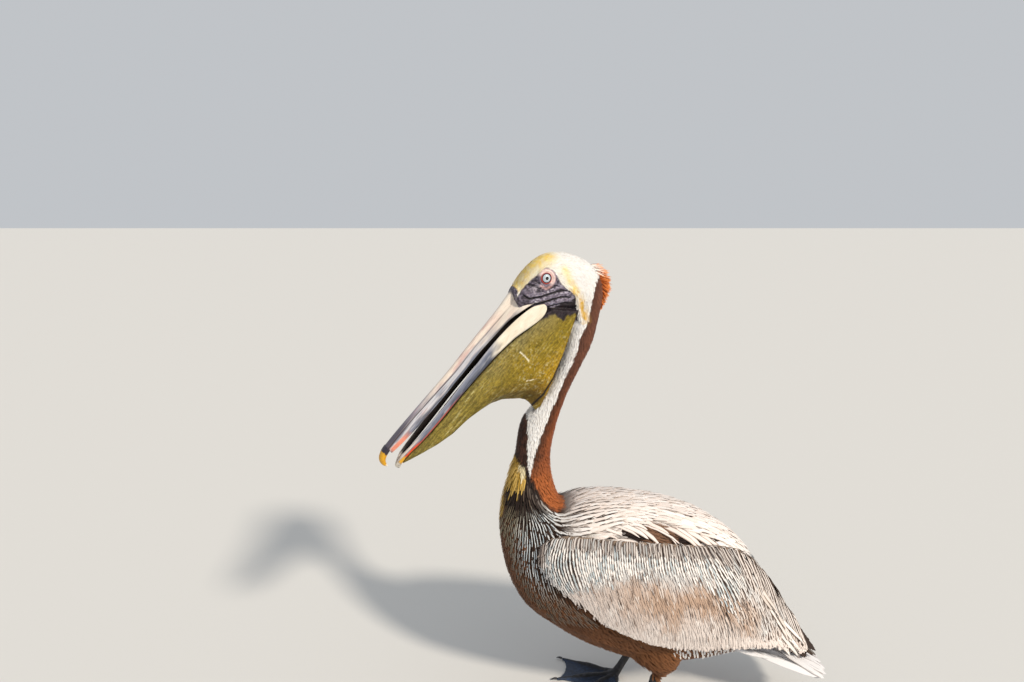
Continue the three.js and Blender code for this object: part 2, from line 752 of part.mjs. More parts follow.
const leftWing = cutAway(joinUp([wingShape(), ...longFeatherShapes()]), trunkGrown);
const sides = { left: (shape) => shape, right: mirrored };
for (const [side, onSide] of Object.entries(sides)) {
  place(`wing_${side}`, onSide(leftWing), finish(SILVER));
  place(`thigh_${side}`, onSide(cutAway(thighShape(side), trunkGrown)), finish(BROWN));
  place(`shank_${side}`, onSide(shankShape(side)), finish(BLACK_SKIN, 0.6));
  place(`foot_${side}`, onSide(footShape(side)), finish(BLACK_SKIN, 0.6));
  for (const [toe, length, angle] of TOES) {
    place(`claw_${toe}_${side}`, onSide(clawShape(side, length, angle)), finish(CLAW_BLACK, 0.4));
  }
}
place("eye_left", eyeShape(1), finish(IRIS, 0.1));
place("eye_right", eyeShape(-1), finish(IRIS, 0.1));

// The part's origin is the middle of its footprint, on the floor.
const box = new THREE.Box3().setFromObject(bird, true);
const middle = box.getCenter(new THREE.Vector3());
bird.position.set(-middle.x, -middle.y, -box.min.z);

export default group;
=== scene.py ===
import math
from collections import deque
from itertools import product

import bmesh
import bpy
import numpy as np
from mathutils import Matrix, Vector
from mathutils.bvhtree import BVHTree


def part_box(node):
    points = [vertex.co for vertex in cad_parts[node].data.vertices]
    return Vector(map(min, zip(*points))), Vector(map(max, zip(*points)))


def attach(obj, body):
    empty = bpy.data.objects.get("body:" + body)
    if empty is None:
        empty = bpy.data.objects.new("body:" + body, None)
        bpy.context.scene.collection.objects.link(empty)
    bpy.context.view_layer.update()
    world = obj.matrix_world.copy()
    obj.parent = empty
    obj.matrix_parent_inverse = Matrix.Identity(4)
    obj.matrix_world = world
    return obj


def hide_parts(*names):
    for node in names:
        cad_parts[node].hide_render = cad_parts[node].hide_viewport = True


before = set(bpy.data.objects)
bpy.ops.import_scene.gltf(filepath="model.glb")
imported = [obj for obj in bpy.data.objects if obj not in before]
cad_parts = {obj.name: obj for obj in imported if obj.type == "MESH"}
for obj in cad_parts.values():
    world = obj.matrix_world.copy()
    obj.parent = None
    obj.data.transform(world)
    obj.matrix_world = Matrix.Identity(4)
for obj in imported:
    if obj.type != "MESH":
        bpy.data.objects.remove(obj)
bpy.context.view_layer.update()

# ---- Where the bird stands, and the view of it ----------------------------------------------
# Sizes in this file are in millimetres on the bird's own axes: x to its left from its mid-plane,
# y to its rear and z up from the floor. The wrist of a folded wing lies 157 mm ahead of y = 0.

SIDES = (("left", 1), ("right", -1))
WRIST_AHEAD = 157
left_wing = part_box("wing_left")
right_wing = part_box("wing_right")
home = np.array([(left_wing[1].x + right_wing[0].x) / 2, left_wing[0].y + WRIST_AHEAD / 1000, 0])


def to_row(points):
    """From the bird's own axes in millimetres to the part's axes in metres."""
    return np.asarray(points, float) / 1000 + home


def from_row(points):
    return (np.asarray(points, float) - home) * 1000


VIEW_FROM = (1013, -195, 800)
VIEW_DOWN = math.radians(10.86)
VIEW_LENS = 24
FILM_WIDTH = 36

camera_data = bpy.data.cameras.new("view")
camera_data.lens = VIEW_LENS
camera_data.sensor_width = FILM_WIDTH
camera = bpy.data.objects.new("view", camera_data)
camera.location = to_row(VIEW_FROM)
camera.rotation_euler = (math.pi / 2 - VIEW_DOWN, 0, math.pi / 2)
bpy.context.scene.collection.objects.link(camera)
bpy.context.scene.camera = camera

# ---- Studio ----------------------------------------------------------------------------------
# A plain pale floor under a soft white sky. The key light is broad and warm, from over the
# viewer's right shoulder, so the breast and the far side fall into soft shade.


def paint(code):
    """A linear colour from an sRGB hex value."""
    channels = [int(code[i:i + 2], 16) / 255 for i in (1, 3, 5)]
    return np.array([c / 12.92 if c <= 0.04045 else ((c + 0.055) / 1.055) ** 2.4 for c in channels])


def add_node(tree, kind, settings=None, **links):
    """Adds a node. Settings are its properties or inputs, and links feed its inputs by name."""
    node = tree.nodes.new(kind)
    for key, value in (settings or {}).items():
        if isinstance(key, str) and hasattr(node, key):
            setattr(node, key, value)
        else:
            node.inputs[key].default_value = value
    for key, source in links.items():
        socket = int(key[2:]) if key[:2] == "in" else key.replace("_", " ")
        tree.links.new(source, node.inputs[socket])
    return node


def new_material(name, colour="#808080", roughness=0.6):
    """An empty material: its node tree and its surface shader are handed back with it."""
    material = bpy.data.materials.new(name)
    material.use_nodes = True
    tree = material.node_tree
    tree.nodes.clear()
    shader = add_node(tree, "ShaderNodeBsdfPrincipled",
                      {"Base Color": (*paint(colour), 1), "Roughness": roughness})
    add_node(tree, "ShaderNodeOutputMaterial", Surface=shader.outputs["BSDF"])
    return material, tree, shader


FLOOR_HALF = 30000
floor_mesh = bpy.data.meshes.new("floor")
corners = FLOOR_HALF * np.array([(-1, -1, 0), (1, -1, 0), (1, 1, 0), (-1, 1, 0)])
floor_mesh.from_pydata([tuple(c) for c in to_row(corners)], [], [(0, 1, 2, 3)])
floor = bpy.data.objects.new("floor", floor_mesh)
bpy.context.scene.collection.objects.link(floor)
floor_mesh.materials.append(new_material("matt_studio_floor", "#d9d8d5", 0.9)[0])

SKY_STRENGTH = 0.62
world = bpy.data.worlds.new("soft_sky")
world.use_nodes = True
sky = world.node_tree.nodes["Background"].inputs
sky["Color"].default_value = (*paint("#eef2f7"), 1)
sky["Strength"].default_value = SKY_STRENGTH
bpy.context.scene.world = world
bpy.context.scene.view_settings.view_transform = "Standard"

KEY_FROM = (0.82, 0.80, 0.86)
KEY_STRENGTH = 2.9
KEY_WIDTH = math.radians(7)
key_data = bpy.data.lights.new("key", "SUN")
key_data.energy = KEY_STRENGTH
key_data.angle = KEY_WIDTH
key_data.color = tuple(paint("#fff4e4"))
key = bpy.data.objects.new("key", key_data)
key.rotation_euler = Vector(KEY_FROM).to_track_quat("Z", "Y").to_euler()
bpy.context.scene.collection.objects.link(key)

# ---- Skin ------------------------------------------------------------------------------------
# One closed skin over trunk, neck, head, throat pouch, legs and webbed feet. It is drawn over the
# joined solids, let in by the depth of the coat, and worked finer on the bare face, where it
# makes the folds and the lids.

FLESH = ["trunk", "neck_lower", "neck_middle", "neck_upper", "head", "pouch"]
for side, _ in SIDES:
    FLESH += [f"thigh_{side}", f"shank_{side}", f"foot_{side}"]

SKIN_CELL = 1.7          # size of a cell of the skin's net
SEAM_CLOSING = 0.45      # the solids are grown by this much, so that the gaps between them close
COARSE_SHARE = 0.25      # share of the net that is kept, taken where the coat hides it
LEG_TOP = 76             # the legs are bare up to this height
NECK_CELL = 4            # size of a cell of the plain net that tells neck from pouch
HEAD_TURN = math.radians(20)
PIVOT = np.array([0, -110, 0])


def add_piece(name, mesh, materials):
    piece = bpy.data.objects.new(name, mesh)
    bpy.context.scene.collection.objects.link(piece)
    mesh.materials.clear()
    for material in materials:
        mesh.materials.append(material)
    mesh.polygons.foreach_set("use_smooth", np.ones(len(mesh.polygons), bool))
    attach(piece, "root")
    return piece


def points_of(mesh):
    flat = np.empty(len(mesh.vertices) * 3, np.float32)
    mesh.vertices.foreach_get("co", flat)
    return from_row(flat.reshape(-1, 3))


def normals_of(mesh):
    flat = np.empty(len(mesh.vertices) * 3, np.float32)
    mesh.vertex_normals.foreach_get("vector", flat)
    return flat.reshape(-1, 3).astype(float)


def set_points(mesh, points):
    mesh.vertices.foreach_set("co", to_row(points).astype(np.float32).ravel())
    mesh.update()


def unit(vectors):
    return vectors / np.maximum(np.linalg.norm(vectors, axis=-1, keepdims=True), 1e-9)


def joined(x, y, z):
    """Places or directions from their three coordinates."""
    return np.stack(np.broadcast_arrays(x, y, z), -1)


def along_surface(way, up):
    """A direction without its part along the upward one."""
    return unit(way - up * (way * up).sum(-1, keepdims=True))


def tree_of(mesh):
    corners = [tuple(face.vertices) for face in mesh.polygons]
    return BVHTree.FromPolygons(points_of(mesh).tolist(), corners)


def nearest(tree, points):
    """The places on a surface nearest to these points, its normals there, and how far they are."""
    found = [tree.find_nearest(point) for point in points.tolist()]
    return (np.array([f[0][:] for f in found]), np.array([f[1][:] for f in found]),
            np.array([f[3] for f in found]))


def net_over(nodes, cell, grow):
    """One closed net over the grown and joined solids of these CAD nodes."""
    work = bmesh.new()
    for node in nodes:
        part = bmesh.new()
        part.from_mesh(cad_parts[node].data)
        bmesh.ops.remove_doubles(part, verts=part.verts, dist=1e-6)
        part.normal_update()
        for vert in part.verts:
            vert.co += vert.normal * (grow / 1000)
        copy = bpy.data.meshes.new("copy")
        part.to_mesh(copy)
        part.free()
        work.from_mesh(copy)
        bpy.data.meshes.remove(copy)
    solids = bpy.data.meshes.new("solids")
    work.to_mesh(solids)
    work.free()
    return evaluated(solids, "REMESH", mode="VOXEL", voxel_size=cell / 1000)


def evaluated(mesh, kind, **settings):
    """The mesh after one modifier. The key "fade" holds points that the modifier works on."""
    holder = bpy.data.objects.new("holder", mesh)
    bpy.context.scene.collection.objects.link(holder)
    modifier = holder.modifiers.new("step", kind)
    chosen = settings.pop("fade", None)
    if chosen is not None:
        group = holder.vertex_groups.new(name="fade")
        group.add([int(i) for i in np.nonzero(chosen)[0]], 1, "REPLACE")
        modifier.vertex_group = "fade"
    for key, value in settings.items():
        setattr(modifier, key, value)
    graph = bpy.context.evaluated_depsgraph_get()
    result = bpy.data.meshes.new_from_object(holder.evaluated_get(graph))
    bpy.data.objects.remove(holder)
    bpy.data.meshes.remove(mesh)
    return result


def smoothed(mesh, rounds, share):
    """Relaxes the points of a net towards their neighbours, by a share for each point."""
    edges = np.empty(len(mesh.edges) * 2, np.int32)
    mesh.edges.foreach_get("vertices", edges)
    one, two = edges.reshape(-1, 2).T
    points = points_of(mesh)
    count = np.bincount(one, minlength=len(points)) + np.bincount(two, minlength=len(points))
    weight = np.broadcast_to(share, (len(points),))[:, None]
    for _ in range(rounds):
        total = np.stack([np.bincount(one, points[two, axis], len(points))
                          + np.bincount(two, points[one, axis], len(points))
                          for axis in range(3)], -1)
        points = points + weight * (total / np.maximum(count, 1)[:, None] - points)
    set_points(mesh, points)


def ease(value, low, high):
    """Rises smoothly from 0 at low to 1 at high."""
    t = np.clip((value - low) / (high - low), 0, 1)
    return t * t * (3 - 2 * t)


def spun(points, angle):
    """Turned about the upright axis."""
    c, s = np.cos(angle), np.sin(angle)
    x, y = points[..., 0], points[..., 1]
    return joined(x * c - y * s, x * s + y * c, points[..., 2])


def turn_at(points):
    """How far the turn of the head has come in, up the neck."""
    return HEAD_TURN * np.interp(points[:, 2], [524, 560, 598, 637, 655], [0, 0.15, 0.5, 0.9, 1])


def head_turn(points, over_pouch):
    """The same, where the pouch turns with the head all the way down."""
    return np.where(over_pouch > 0, HEAD_TURN, turn_at(points))


def straightened(points, turn):
    """Places on the neck and head as they would be if it looked ahead, from the turning axis."""
    return spun(points - PIVOT, -turn)


def apart(line, points):
    """Distance in side view from a drawn line to these points."""
    y, z = points[:, 1], points[:, 2]
    best = np.full(len(points), 1e9)
    for (y0, z0), (y1, z1) in zip(line, line[1:]):
        ey, ez = y1 - y0, z1 - z0
        t = np.clip(((y - y0) * ey + (z - z0) * ez) / (ey * ey + ez * ez), 0, 1)
        best = np.minimum(best, np.hypot(y - y0 - t * ey, z - z0 - t * ez))
    return best


def inside(outline, points):
    """How far these points are inside a closed outline in side view, below zero outside it."""
    y, z = points[:, 1], points[:, 2]
    within = np.zeros(len(points), bool)
    for (y0, z0), (y1, z1) in zip(outline, outline[1:] + outline[:1]):
        crossing = y0 + (z - z0) * (y1 - y0) / ((z1 - z0) or 1e-9)
        within ^= ((z0 <= z) != (z1 <= z)) & (y < crossing)
    return np.where(within, 1, -1) * apart(outline + outline[:1], points)


def grain(points, size, seed=0):
    """Soft random values from 0 to 1 that change over the given size."""
    spot = np.asarray(points, float) / size + 517.3 + 31.7 * seed
    cell = np.floor(spot).astype(np.int64)
    part = spot - cell
    part = part * part * (3 - 2 * part)
    total = np.zeros(len(spot))
    for corner in range(8):
        step = np.array([corner & 1, corner >> 1 & 1, corner >> 2])
        weight = np.where(step, part, 1 - part).prod(-1)
        key = (cell + step) @ np.array([73856093, 19349663, 83492791])
        key = (key ^ (key >> 13)) * 1274126177 & 0x7fffffff
        total += weight * ((key ^ (key >> 15)) & 0xffff) / 0xffff
    return total


neck_tree = tree_of(net_over(["neck_lower", "neck_middle", "neck_upper", "head"], NECK_CELL, 0))
pouch_tree = tree_of(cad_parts["pouch"].data)

skin_mesh = net_over(FLESH, SKIN_CELL, SEAM_CLOSING)
skin_points = points_of(skin_mesh)
smoothed(skin_mesh, 2, np.where(skin_points[:, 2] < 20, 0.15, 0.5))

# The edge of the bare face, in side view of the straight head. The pouch is bare all over.
FACE_EDGE = [(-150, 660), (-93, 674), (-87, 681), (-84, 687), (-78, 694), (-72, 700), (-66, 705),
             (-60, 710), (-55, 716), (-47, 719), (-40, 716), (-35, 710), (-31, 702), (-27, 695),
             (-17, 690), (-8, 685), (-3, 678), (0, 670), (4, 662), (8, 652), (9, 640), (-150, 600)]
FACE_LOW = 630           # the bare face ends above this height
FRONT_EDGE = [(-110, 702), (-96, 700), (-90, 694), (-88, 687), (-90, 678), (-98, 670), (-120, 668)]


def bare_parts(points):
    """Places on the straight head, how far inside the bare face they are, and if on the pouch."""
    near = (points[:, 2] > 425) & (points[:, 1] < -90) & (points[:, 2] < 672)
    over = np.full(len(points), -9.0)
    chosen = points[near]
    over[near] = nearest(neck_tree, chosen)[2] - nearest(pouch_tree, chosen)[2]
    straight = straightened(points, head_turn(points, over))
    face = np.maximum(inside(FACE_EDGE, straight), inside(FRONT_EDGE, straight))
    face = np.where(points[:, 2] > FACE_LOW, face, -9)
    return straight, np.maximum(face, np.minimum(over, 9)), over


def coat_depth(points, bare):
    """How deep the coat is over the skin: least on the head, none where the skin is bare."""
    depth = np.interp(points[:, 2], [60, 95, 300, 380, 560, 650, 700], [2, 5, 5, 4, 3, 2.2, 1.7])
    return depth * ease(-bare, -0.5, 4) * ease(points[:, 2], 72, 84)


_, bare, _ = bare_parts(points_of(skin_mesh))
hidden = (bare < -6) & (points_of(skin_mesh)[:, 2] > LEG_TOP)
skin_mesh = evaluated(skin_mesh, "DECIMATE", ratio=COARSE_SHARE, fade=hidden,
                      use_collapse_triangulate=True)
smoothed(skin_mesh, 1, np.where(points_of(skin_mesh)[:, 2] < 20, 0.0, 0.3))
points = points_of(skin_mesh)
_, bare, _ = bare_parts(points)
depth = coat_depth(points, bare) + SEAM_CLOSING
set_points(skin_mesh, points - normals_of(skin_mesh) * depth[:, None])


def refine(mesh, chosen):
    """Halves the edges whose two ends are chosen."""
    work = bmesh.new()
    work.from_mesh(mesh)
    work.verts.ensure_lookup_table()
    edges = [e for e in work.edges if chosen[e.verts[0].index] and chosen[e.verts[1].index]]
    bmesh.ops.subdivide_edges(work, edges=edges, cuts=1, use_grid_fill=True)
    bmesh.ops.triangulate(work, faces=[f for f in work.faces if len(f.verts) > 4])
    work.to_mesh(mesh)
    work.free()
    mesh.update()


EYE_AT = (24.3, -49.5, 705)
EYE_RADIUS = 9.0
LID_EDGE = 6.5


def from_eye(straight):
    """Distance from the line through the middles of both eyes."""
    return np.hypot(straight[:, 1] - EYE_AT[1], straight[:, 2] - EYE_AT[2])


straight, bare, over_pouch = bare_parts(points_of(skin_mesh))
refine(skin_mesh, (bare > -3) & (straight[:, 2] > 640) & (straight[:, 1] > -98) & (over_pouch < 2))
straight = straightened(points_of(skin_mesh), turn_at(points_of(skin_mesh)))
refine(skin_mesh, (from_eye(straight) < 13.5) & (straight[:, 2] > 640))

# Folds of the bare cheek, in side view of the straight head: full rolls, then the creases by them,
# each with its width and height.
FOLDS = [
    ([(-84, 688), (-73, 681), (-57, 683), (-42, 688), (-28, 692), (-17, 687)], 3.0, 1.3),
    ([(-70, 671), (-57, 673), (-42, 678), (-26, 682), (-14, 682), (-8, 676)], 3.0, 1.6),
    ([(-60, 662), (-49, 664), (-34, 669), (-18, 673), (-9, 670)], 3.0, 1.3),
    ([(-58, 655), (-42, 660), (-26, 664), (-10, 664)], 2.6, 1.0),
    ([(-80, 680), (-73, 675.5), (-57, 678), (-42, 683), (-26, 687), (-14, 685)], 1.3, -1.9),
    ([(-66, 667), (-57, 668), (-42, 673), (-26, 677), (-12, 676)], 1.3, -1.8),
    ([(-58, 658), (-49, 660), (-34, 665), (-18, 668), (-8, 667)], 1.2, -1.5),
    ([(-88, 692), (-77, 697), (-66, 694), (-57, 691), (-46, 690), (-34, 694)], 1.4, -1.0),
    ([(-84, 699), (-74, 703), (-64, 701), (-60, 697)], 1.0, -0.7),
    ([(-64, 689), (-58, 685), (-50, 686), (-42, 691)], 1.0, -0.7),
]


def fold_height(straight):
    return sum(tall * np.exp(-(apart(line, straight) / wide) ** 2) for line, wide, tall in FOLDS)


points = points_of(skin_mesh)
straight, bare, over_pouch = bare_parts(points)
sides = np.abs(straight[:, 0])
on_cheek = ease(bare, -1, 3) * ease(straight[:, 1], -97, -90) * ease(sides, 10, 16)
on_cheek *= ease(straight[:, 2], 646, 654) * (from_eye(straight) > 8)
wrinkle = ((grain(straight * [1, 1, 1.6], 3.2, 1) - 0.5) * 0.9
           + (grain(straight, 1.7, 2) - 0.5) * 0.5)
height = on_cheek * (fold_height(straight) + wrinkle)
points = points + normals_of(skin_mesh) * height[:, None]

# The lids: a raised rim round the eye, then a shallow ring of loose skin. Each fold has its
# distance from the middle of the eye, its width and its height.
LID_FOLDS = [(7.3, 1.1, 1.0), (9.2, 0.8, -0.9), (11, 1.2, 0.5)]
LID_LIFT = 6.1
straight = straightened(points, head_turn(points, over_pouch))
ring = from_eye(straight)
near_eye = (ring < 13) & (straight[:, 2] > 670)
ball = EYE_AT[0] + np.sqrt(np.maximum(EYE_RADIUS ** 2 - ring ** 2, 16))
rim = EYE_AT[0] + LID_LIFT
for out, wide, tall in LID_FOLDS:
    rim = rim + tall * np.exp(-((ring - out) / wide) ** 2)
shaped = np.where(ring < LID_EDGE - 0.35, ball - 2.5, rim)
keep = ease(ring, 9.5, 13)
side_now = np.sign(straight[:, 0]) * (shaped * (1 - keep) + np.abs(straight[:, 0]) * keep)
lid_points = straight.copy()
lid_points[:, 0] = side_now
points[near_eye] = (spun(lid_points, turn_at(points)) + PIVOT)[near_eye]

# Between the two bars of the lower bill the pouch is open above, and sinks into a trough.
TROUGH_DEEP = 11
BILL_ROOT = np.array([0, -92, 687])
BILL_DOWN = math.radians(48.7)
BILL_ALONG = np.array([0, -math.cos(BILL_DOWN), -math.sin(BILL_DOWN)])
BILL_UP = np.array([0, -math.sin(BILL_DOWN), math.cos(BILL_DOWN)])


def bill_place(straight):
    """Distance down the bill from its base, and height over its top line."""
    from_root = straight - BILL_ROOT
    return from_root @ BILL_ALONG, from_root @ BILL_UP


normals = spun(normals_of(skin_mesh), -head_turn(points, over_pouch))
straight = straightened(points, head_turn(points, over_pouch))
along, over = bill_place(straight)
bar_half = np.interp(along, [0, 84, 168, 246, 274], [20, 17, 15, 11, 6])
share = np.clip(np.abs(straight[:, 0]) / bar_half, 0, 1)
facing_up = normals @ BILL_UP
sink = (TROUGH_DEEP * (1 - share ** 2) * ease(facing_up, 0.5, 0.9)
        * ease(along, 4, 22) * ease(-along, -262, -225))
sink *= over_pouch > 0
points = points - (spun(BILL_UP[None], HEAD_TURN) * sink[:, None])
set_points(skin_mesh, points)

# The markings, drawn on the straight head and neck, and in side view on the trunk. Each place
# has the colour of a feather's middle and the colour of its edges.
WHITE_FRONT = [(402, -57.4), (408, -59.7), (424, -60.5), (441, -60.6), (457, -60), (472, -59.2),
               (488, -59.3), (504, -60.1), (512, -50), (519, -38.4), (535, -30), (551, -24.7),
               (566, -19), (581, -15), (596, -10), (611, -9), (618, -200)]
WHITE_REAR = [(402, -57.4), (408, -55.1), (424, -52.9), (441, -48.4), (457, -43.9), (472, -38.8),
              (488, -32.1), (504, -27), (519, -20.4), (535, -14.2), (551, -7.4), (566, -2.4),
              (581, 3.9), (596, 9.5), (611, 10.5), (625, 14.7), (640, 21.8), (655, 22.7),
              (670, 24), (684, 26), (695, 30.5), (701, 35), (706, 41), (711, 54)]
NECK_REAR = [(350, -4), (386, -22), (419, -26), (454, -21), (485, -14), (524, -1), (568, 19),
             (603, 36), (640, 46), (676, 53), (700, 49)]
STREAK_FRONT = [(60, -60), (145, -145), (218, -150), (236, -168), (266, -183), (296, -190),
                (343, -201), (383, -184), (399, -172), (440, -160)]
RUST_PATCH = [(-166, 402), (-158, 385), (-150, 366), (-141, 352), (-130, 345), (-116, 343),
              (-110, 354), (-116, 372), (-122, 404)]
GOLD_PATCH = [(-189, 445), (-184, 428), (-180, 417), (-173, 416), (-173, 396), (-176, 386),
              (-181, 392), (-184, 378), (-187, 386), (-192, 372), (-194, 386), (-197, 383),
              (-202, 350), (-208, 334), (-224, 340), (-222, 380), (-210, 410), (-200, 434)]
GOLD_LIGHT = [(-181, 418), (-172, 418), (-174, 401), (-179, 398), (-182, 409)]
# The hollow over the top edge of the folded wing, where the coat is painted dark as painted shade.
SHADED_HOLLOW = [(-38, 331), (-30, 333), (-16, 334), (-4, 338), (10, 338), (26, 333), (42, 328), (62, 322),
          (92, 316), (96, 311), (60, 307), (20, 307), (-4, 311), (-20, 316), (-32, 322)]
DARK_BASE = [(-176, 424), (-166, 408), (-158, 385), (-148, 362), (-135, 338), (-158, 334),
             (-190, 340), (-206, 350), (-198, 372), (-180, 384)]

BROW = [(-87, 694), (-85, 699), (-77, 709), (-67, 719), (-53, 728), (-40, 735)]
EYE_REAR = [(-22, 714), (-16, 704), (-11, 693), (-4, 684)]
CHEEK_REAR = [(-4, 686), (6, 674), (12, 662), (15, 650), (17, 641)]


def curve(rows, at):
    return np.interp(at, [row[0] for row in rows], [row[1] for row in rows])


def hump(value, middle, width):
    """Is 1 at the middle, and falls away smoothly over the width on both sides of it."""
    return np.exp(-((value - middle) / width) ** 2)


def tint(value):
    return paint(value) if isinstance(value, str) else value


def blend(one, two, share):
    """One colour turned into another, by a share for each place. In place of the second colour,
    a number stands for that much of the first."""
    share = np.reshape(share, (-1, 1))
    one = tint(one)
    two = one * two if isinstance(two, float) else tint(two)
    return one * (1 - share) + two * share


def layered(colour, *layers):
    """A colour with others laid over it in turn, each with its share."""
    for layer, share in layers:
        colour = blend(colour, layer, share)
    return colour


def markings(points, turn=None):
    """The plumage at these places: colour of a feather's middle, of its edges, and how far out
    from its shaft the edge colour starts, as a share of its half width."""
    straight = straightened(points, turn_at(points) if turn is None else turn)
    y, z = straight[:, 1], straight[:, 2]
    body_y = points[:, 1]
    rough = grain(points, 6, 3) - 0.5
    streaks = grain(points * [1, 1, 0.22], 3.2, 5) - 0.5

    # Trunk: brown in front and below, dark under the streaks, white on the back.
    core = layered(blend("#5e3a20", "#7b4f30", grain(points, 30, 4)),
                   ("#8d5c38", ease(-z, -190, -105) * 0.6))
    behind = body_y - curve(STREAK_FRONT, z)
    streaky = ease(behind + streaks * 44, -4, 30) * ease(z + 0.25 * body_y, 170, 215)
    back = ease(z - 0.12 * body_y, 312, 334) * ease(body_y, -126, -92)
    drawn = ease(grain(points * [1, 0.3, 1], 2.6, 20), 0.5, 0.7) * back * ease(-body_y, 20, 70)
    # Painted shade in the hollow over the wing's edge: near black ahead and behind, and brown in
    # between.
    under = blend("#2b1c17", "#84614a", ease(body_y, -6, 6) * ease(-body_y, -54, -42))
    down = hump(np.hypot((body_y + 99) * 0.8, z - 366), 0, 10)
    # The base of the neck: very dark on the side, with a gold patch in front that ends in spikes.
    shadow = ease(inside(DARK_BASE, points) + streaks * 14, -5, 4)
    gold = layered(blend("#c39a3f", "#e3bd66", ease(streaks, -0.25, 0.25)),
                   ("#f6e6bb", ease(inside(GOLD_LIGHT, points) + streaks * 5, -2.5, 1.5)),
                   ("#8f6c2a", ease(-z, -395, -365) * 0.35))
    # Neck: dark in front, a white stripe on each side, and red-brown behind.
    wobble = rough * 1.6
    front, rear = curve(WHITE_FRONT, z), curve(WHITE_REAR, z)
    on_fore = (ease(z + 0.8 * (y + 75) + streaks * 22, 420, 430)
               * ease(front - y + wobble, -0.8, 0.8))
    fore = blend("#3a261f", "#5a3a2e", ease(grain(points, 4, 6), 0.3, 0.85))
    share = np.clip((y - rear) / np.maximum(curve(NECK_REAR, z) - rear, 4), 0, 1.2) + rough * 0.3
    patch = ease(inside(RUST_PATCH, points) + rough * 5, -3, 3)
    # Behind: red-brown, lighter towards the rear edge, and orange along the edge itself as a painted
    # rim light.
    hind = layered(blend("#5c3a2d", "#7d4d39", ease(share, 0, 0.7)),
                   (blend("#54311f", "#96512c", ease(share, 0.05, 0.7)), ease(-z, -590, -480)),
                   ("#ad6030", np.maximum(patch, ease(-z, -430, -400) * 0.6)),
                   ("#bb6f3c", ease(share, 0.86, 1.02) * 0.8))
    on_hind = np.maximum(ease(y - rear + wobble, -0.8, 0.8) * ease(z, 392, 402), patch)
    white = (ease(y - front - wobble, -0.8, 0.8) * ease(rear - y - wobble, -0.8, 0.8)
             * ease(z, 398, 406))
    # Head: white, with a yellow brow and forehead and an ochre patch behind the bare cheek.
    brow = np.maximum(hump(apart(BROW, straight), 0, 9),
                      0.8 * hump(apart(EYE_REAR, straight), 0, 6))
    fleck = ease(grain(points, 4, 8), 0.25, 0.75)
    yellow = np.clip(brow * (0.65 + 0.45 * fleck), 0, 1) * (z > 640)
    ochre = (np.clip(hump(apart(CHEEK_REAR, straight), 0, 5) * (0.25 + 0.8 * fleck), 0, 1)
             * (z > 636))

    coat = [core, core * 0.62]
    for share, *colours in (
            (streaky * 0.92, blend("#46301f", "#33241c", ease(z, 230, 330)), None),
            (streaky, None, "#261914"),
            (back, "#f8f0eb", "#dacdc4"),
            (drawn * 0.8, "#84736a", None),
            (ease(body_y, 130, 190) * ease(z, 110, 140), "#efe4dd", "#dacdc4"),
            (ease(inside(SHADED_HOLLOW, points), -1, 2), under, under * 0.6),
            (down, blend("#a59489", "#83746b", grain(points, 3, 9)), "#7b6b62"),
            (ease(z, 338, 372) * ease(-body_y, 112, 134), "#3a2a22", "#261a15"),
            (shadow * 0.9, "#2a1e18", None),
            (shadow, None, "#1d1410"),
            (ease(inside(GOLD_PATCH, points) + streaks * 7, -1.6, 1.2), gold, gold * 0.66),
            (on_fore, fore, fore * 0.7),
            (on_hind, hind, hind * 0.78),
            (white, "#fbf9f6", "#ddd6d0"),
            (ease(-y, -10, 60) * (z > 690) * 0.8, "#fffae9", None),
            (yellow, "#ffde84", "#f8cf72"),
            (ochre, "#f4c556", "#dca03c")):
        coat = [part if colour is None else blend(part, colour, share)
                for part, colour in zip(coat, colours)]
    return *coat, np.where(z > 420, 0.6, np.where(back > 0.5, 0.66, 0.5))


# Bare skin: slate and wrinkled on the cheek, rosy round the eye, olive on the pouch, and near
# black on the legs. Under the coat the skin has the coat's markings, in shade.
POUCH_REAR_EDGE = [(-4, 668), (3, 648), (0, 638), (-3, 626), (-7, 615), (-17, 590), (-23, 580),
                   (-34, 556), (-47, 534), (-53, 524), (-59, 512)]
POUCH_KEEL = [(-265, 439), (-246, 450), (-225, 461), (-201, 471), (-186, 480), (-171, 491),
              (-156, 504), (-140, 516), (-128, 523), (-95, 529), (-78, 523), (-63, 529)]
BAR_LOW = [(-12, -55), (8, -54), (28, -50), (52, -43.5), (84, -39), (124, -36.5), (168, -35),
           (210, -35), (246, -34), (274, -31.5), (290, -32.5)]
# Painted shade in the corner of the mouth, under the gape, where cheek and pouch meet.
SHADED_MOUTH_CORNER = [(-54, 644), (-43, 650), (-33, 651), (-27, 647), (-20, 641), (-14, 646.5), (-9, 649),
               (-1, 651), (5.5, 650), (8, 630), (13, 636), (13, 654), (9, 668), (2, 676), (-5, 673),
               (-13, 668), (-24, 665), (-36, 662), (-50, 658)]
CHEEK_PALE = [(-44, 678), (-28, 681), (-16, 684), (-6, 675), (-22, 666), (-40, 660)]
BELOW_EYE = [(-67, 689), (-60, 691), (-55, 694)]
EYE_BAG = [(-57, 694), (-50, 690), (-43, 693)]
SCRATCHES = [[(-87, 599.5), (-80, 593), (-74, 586)], [(-79, 556), (-70, 556.5), (-62, 558)]]


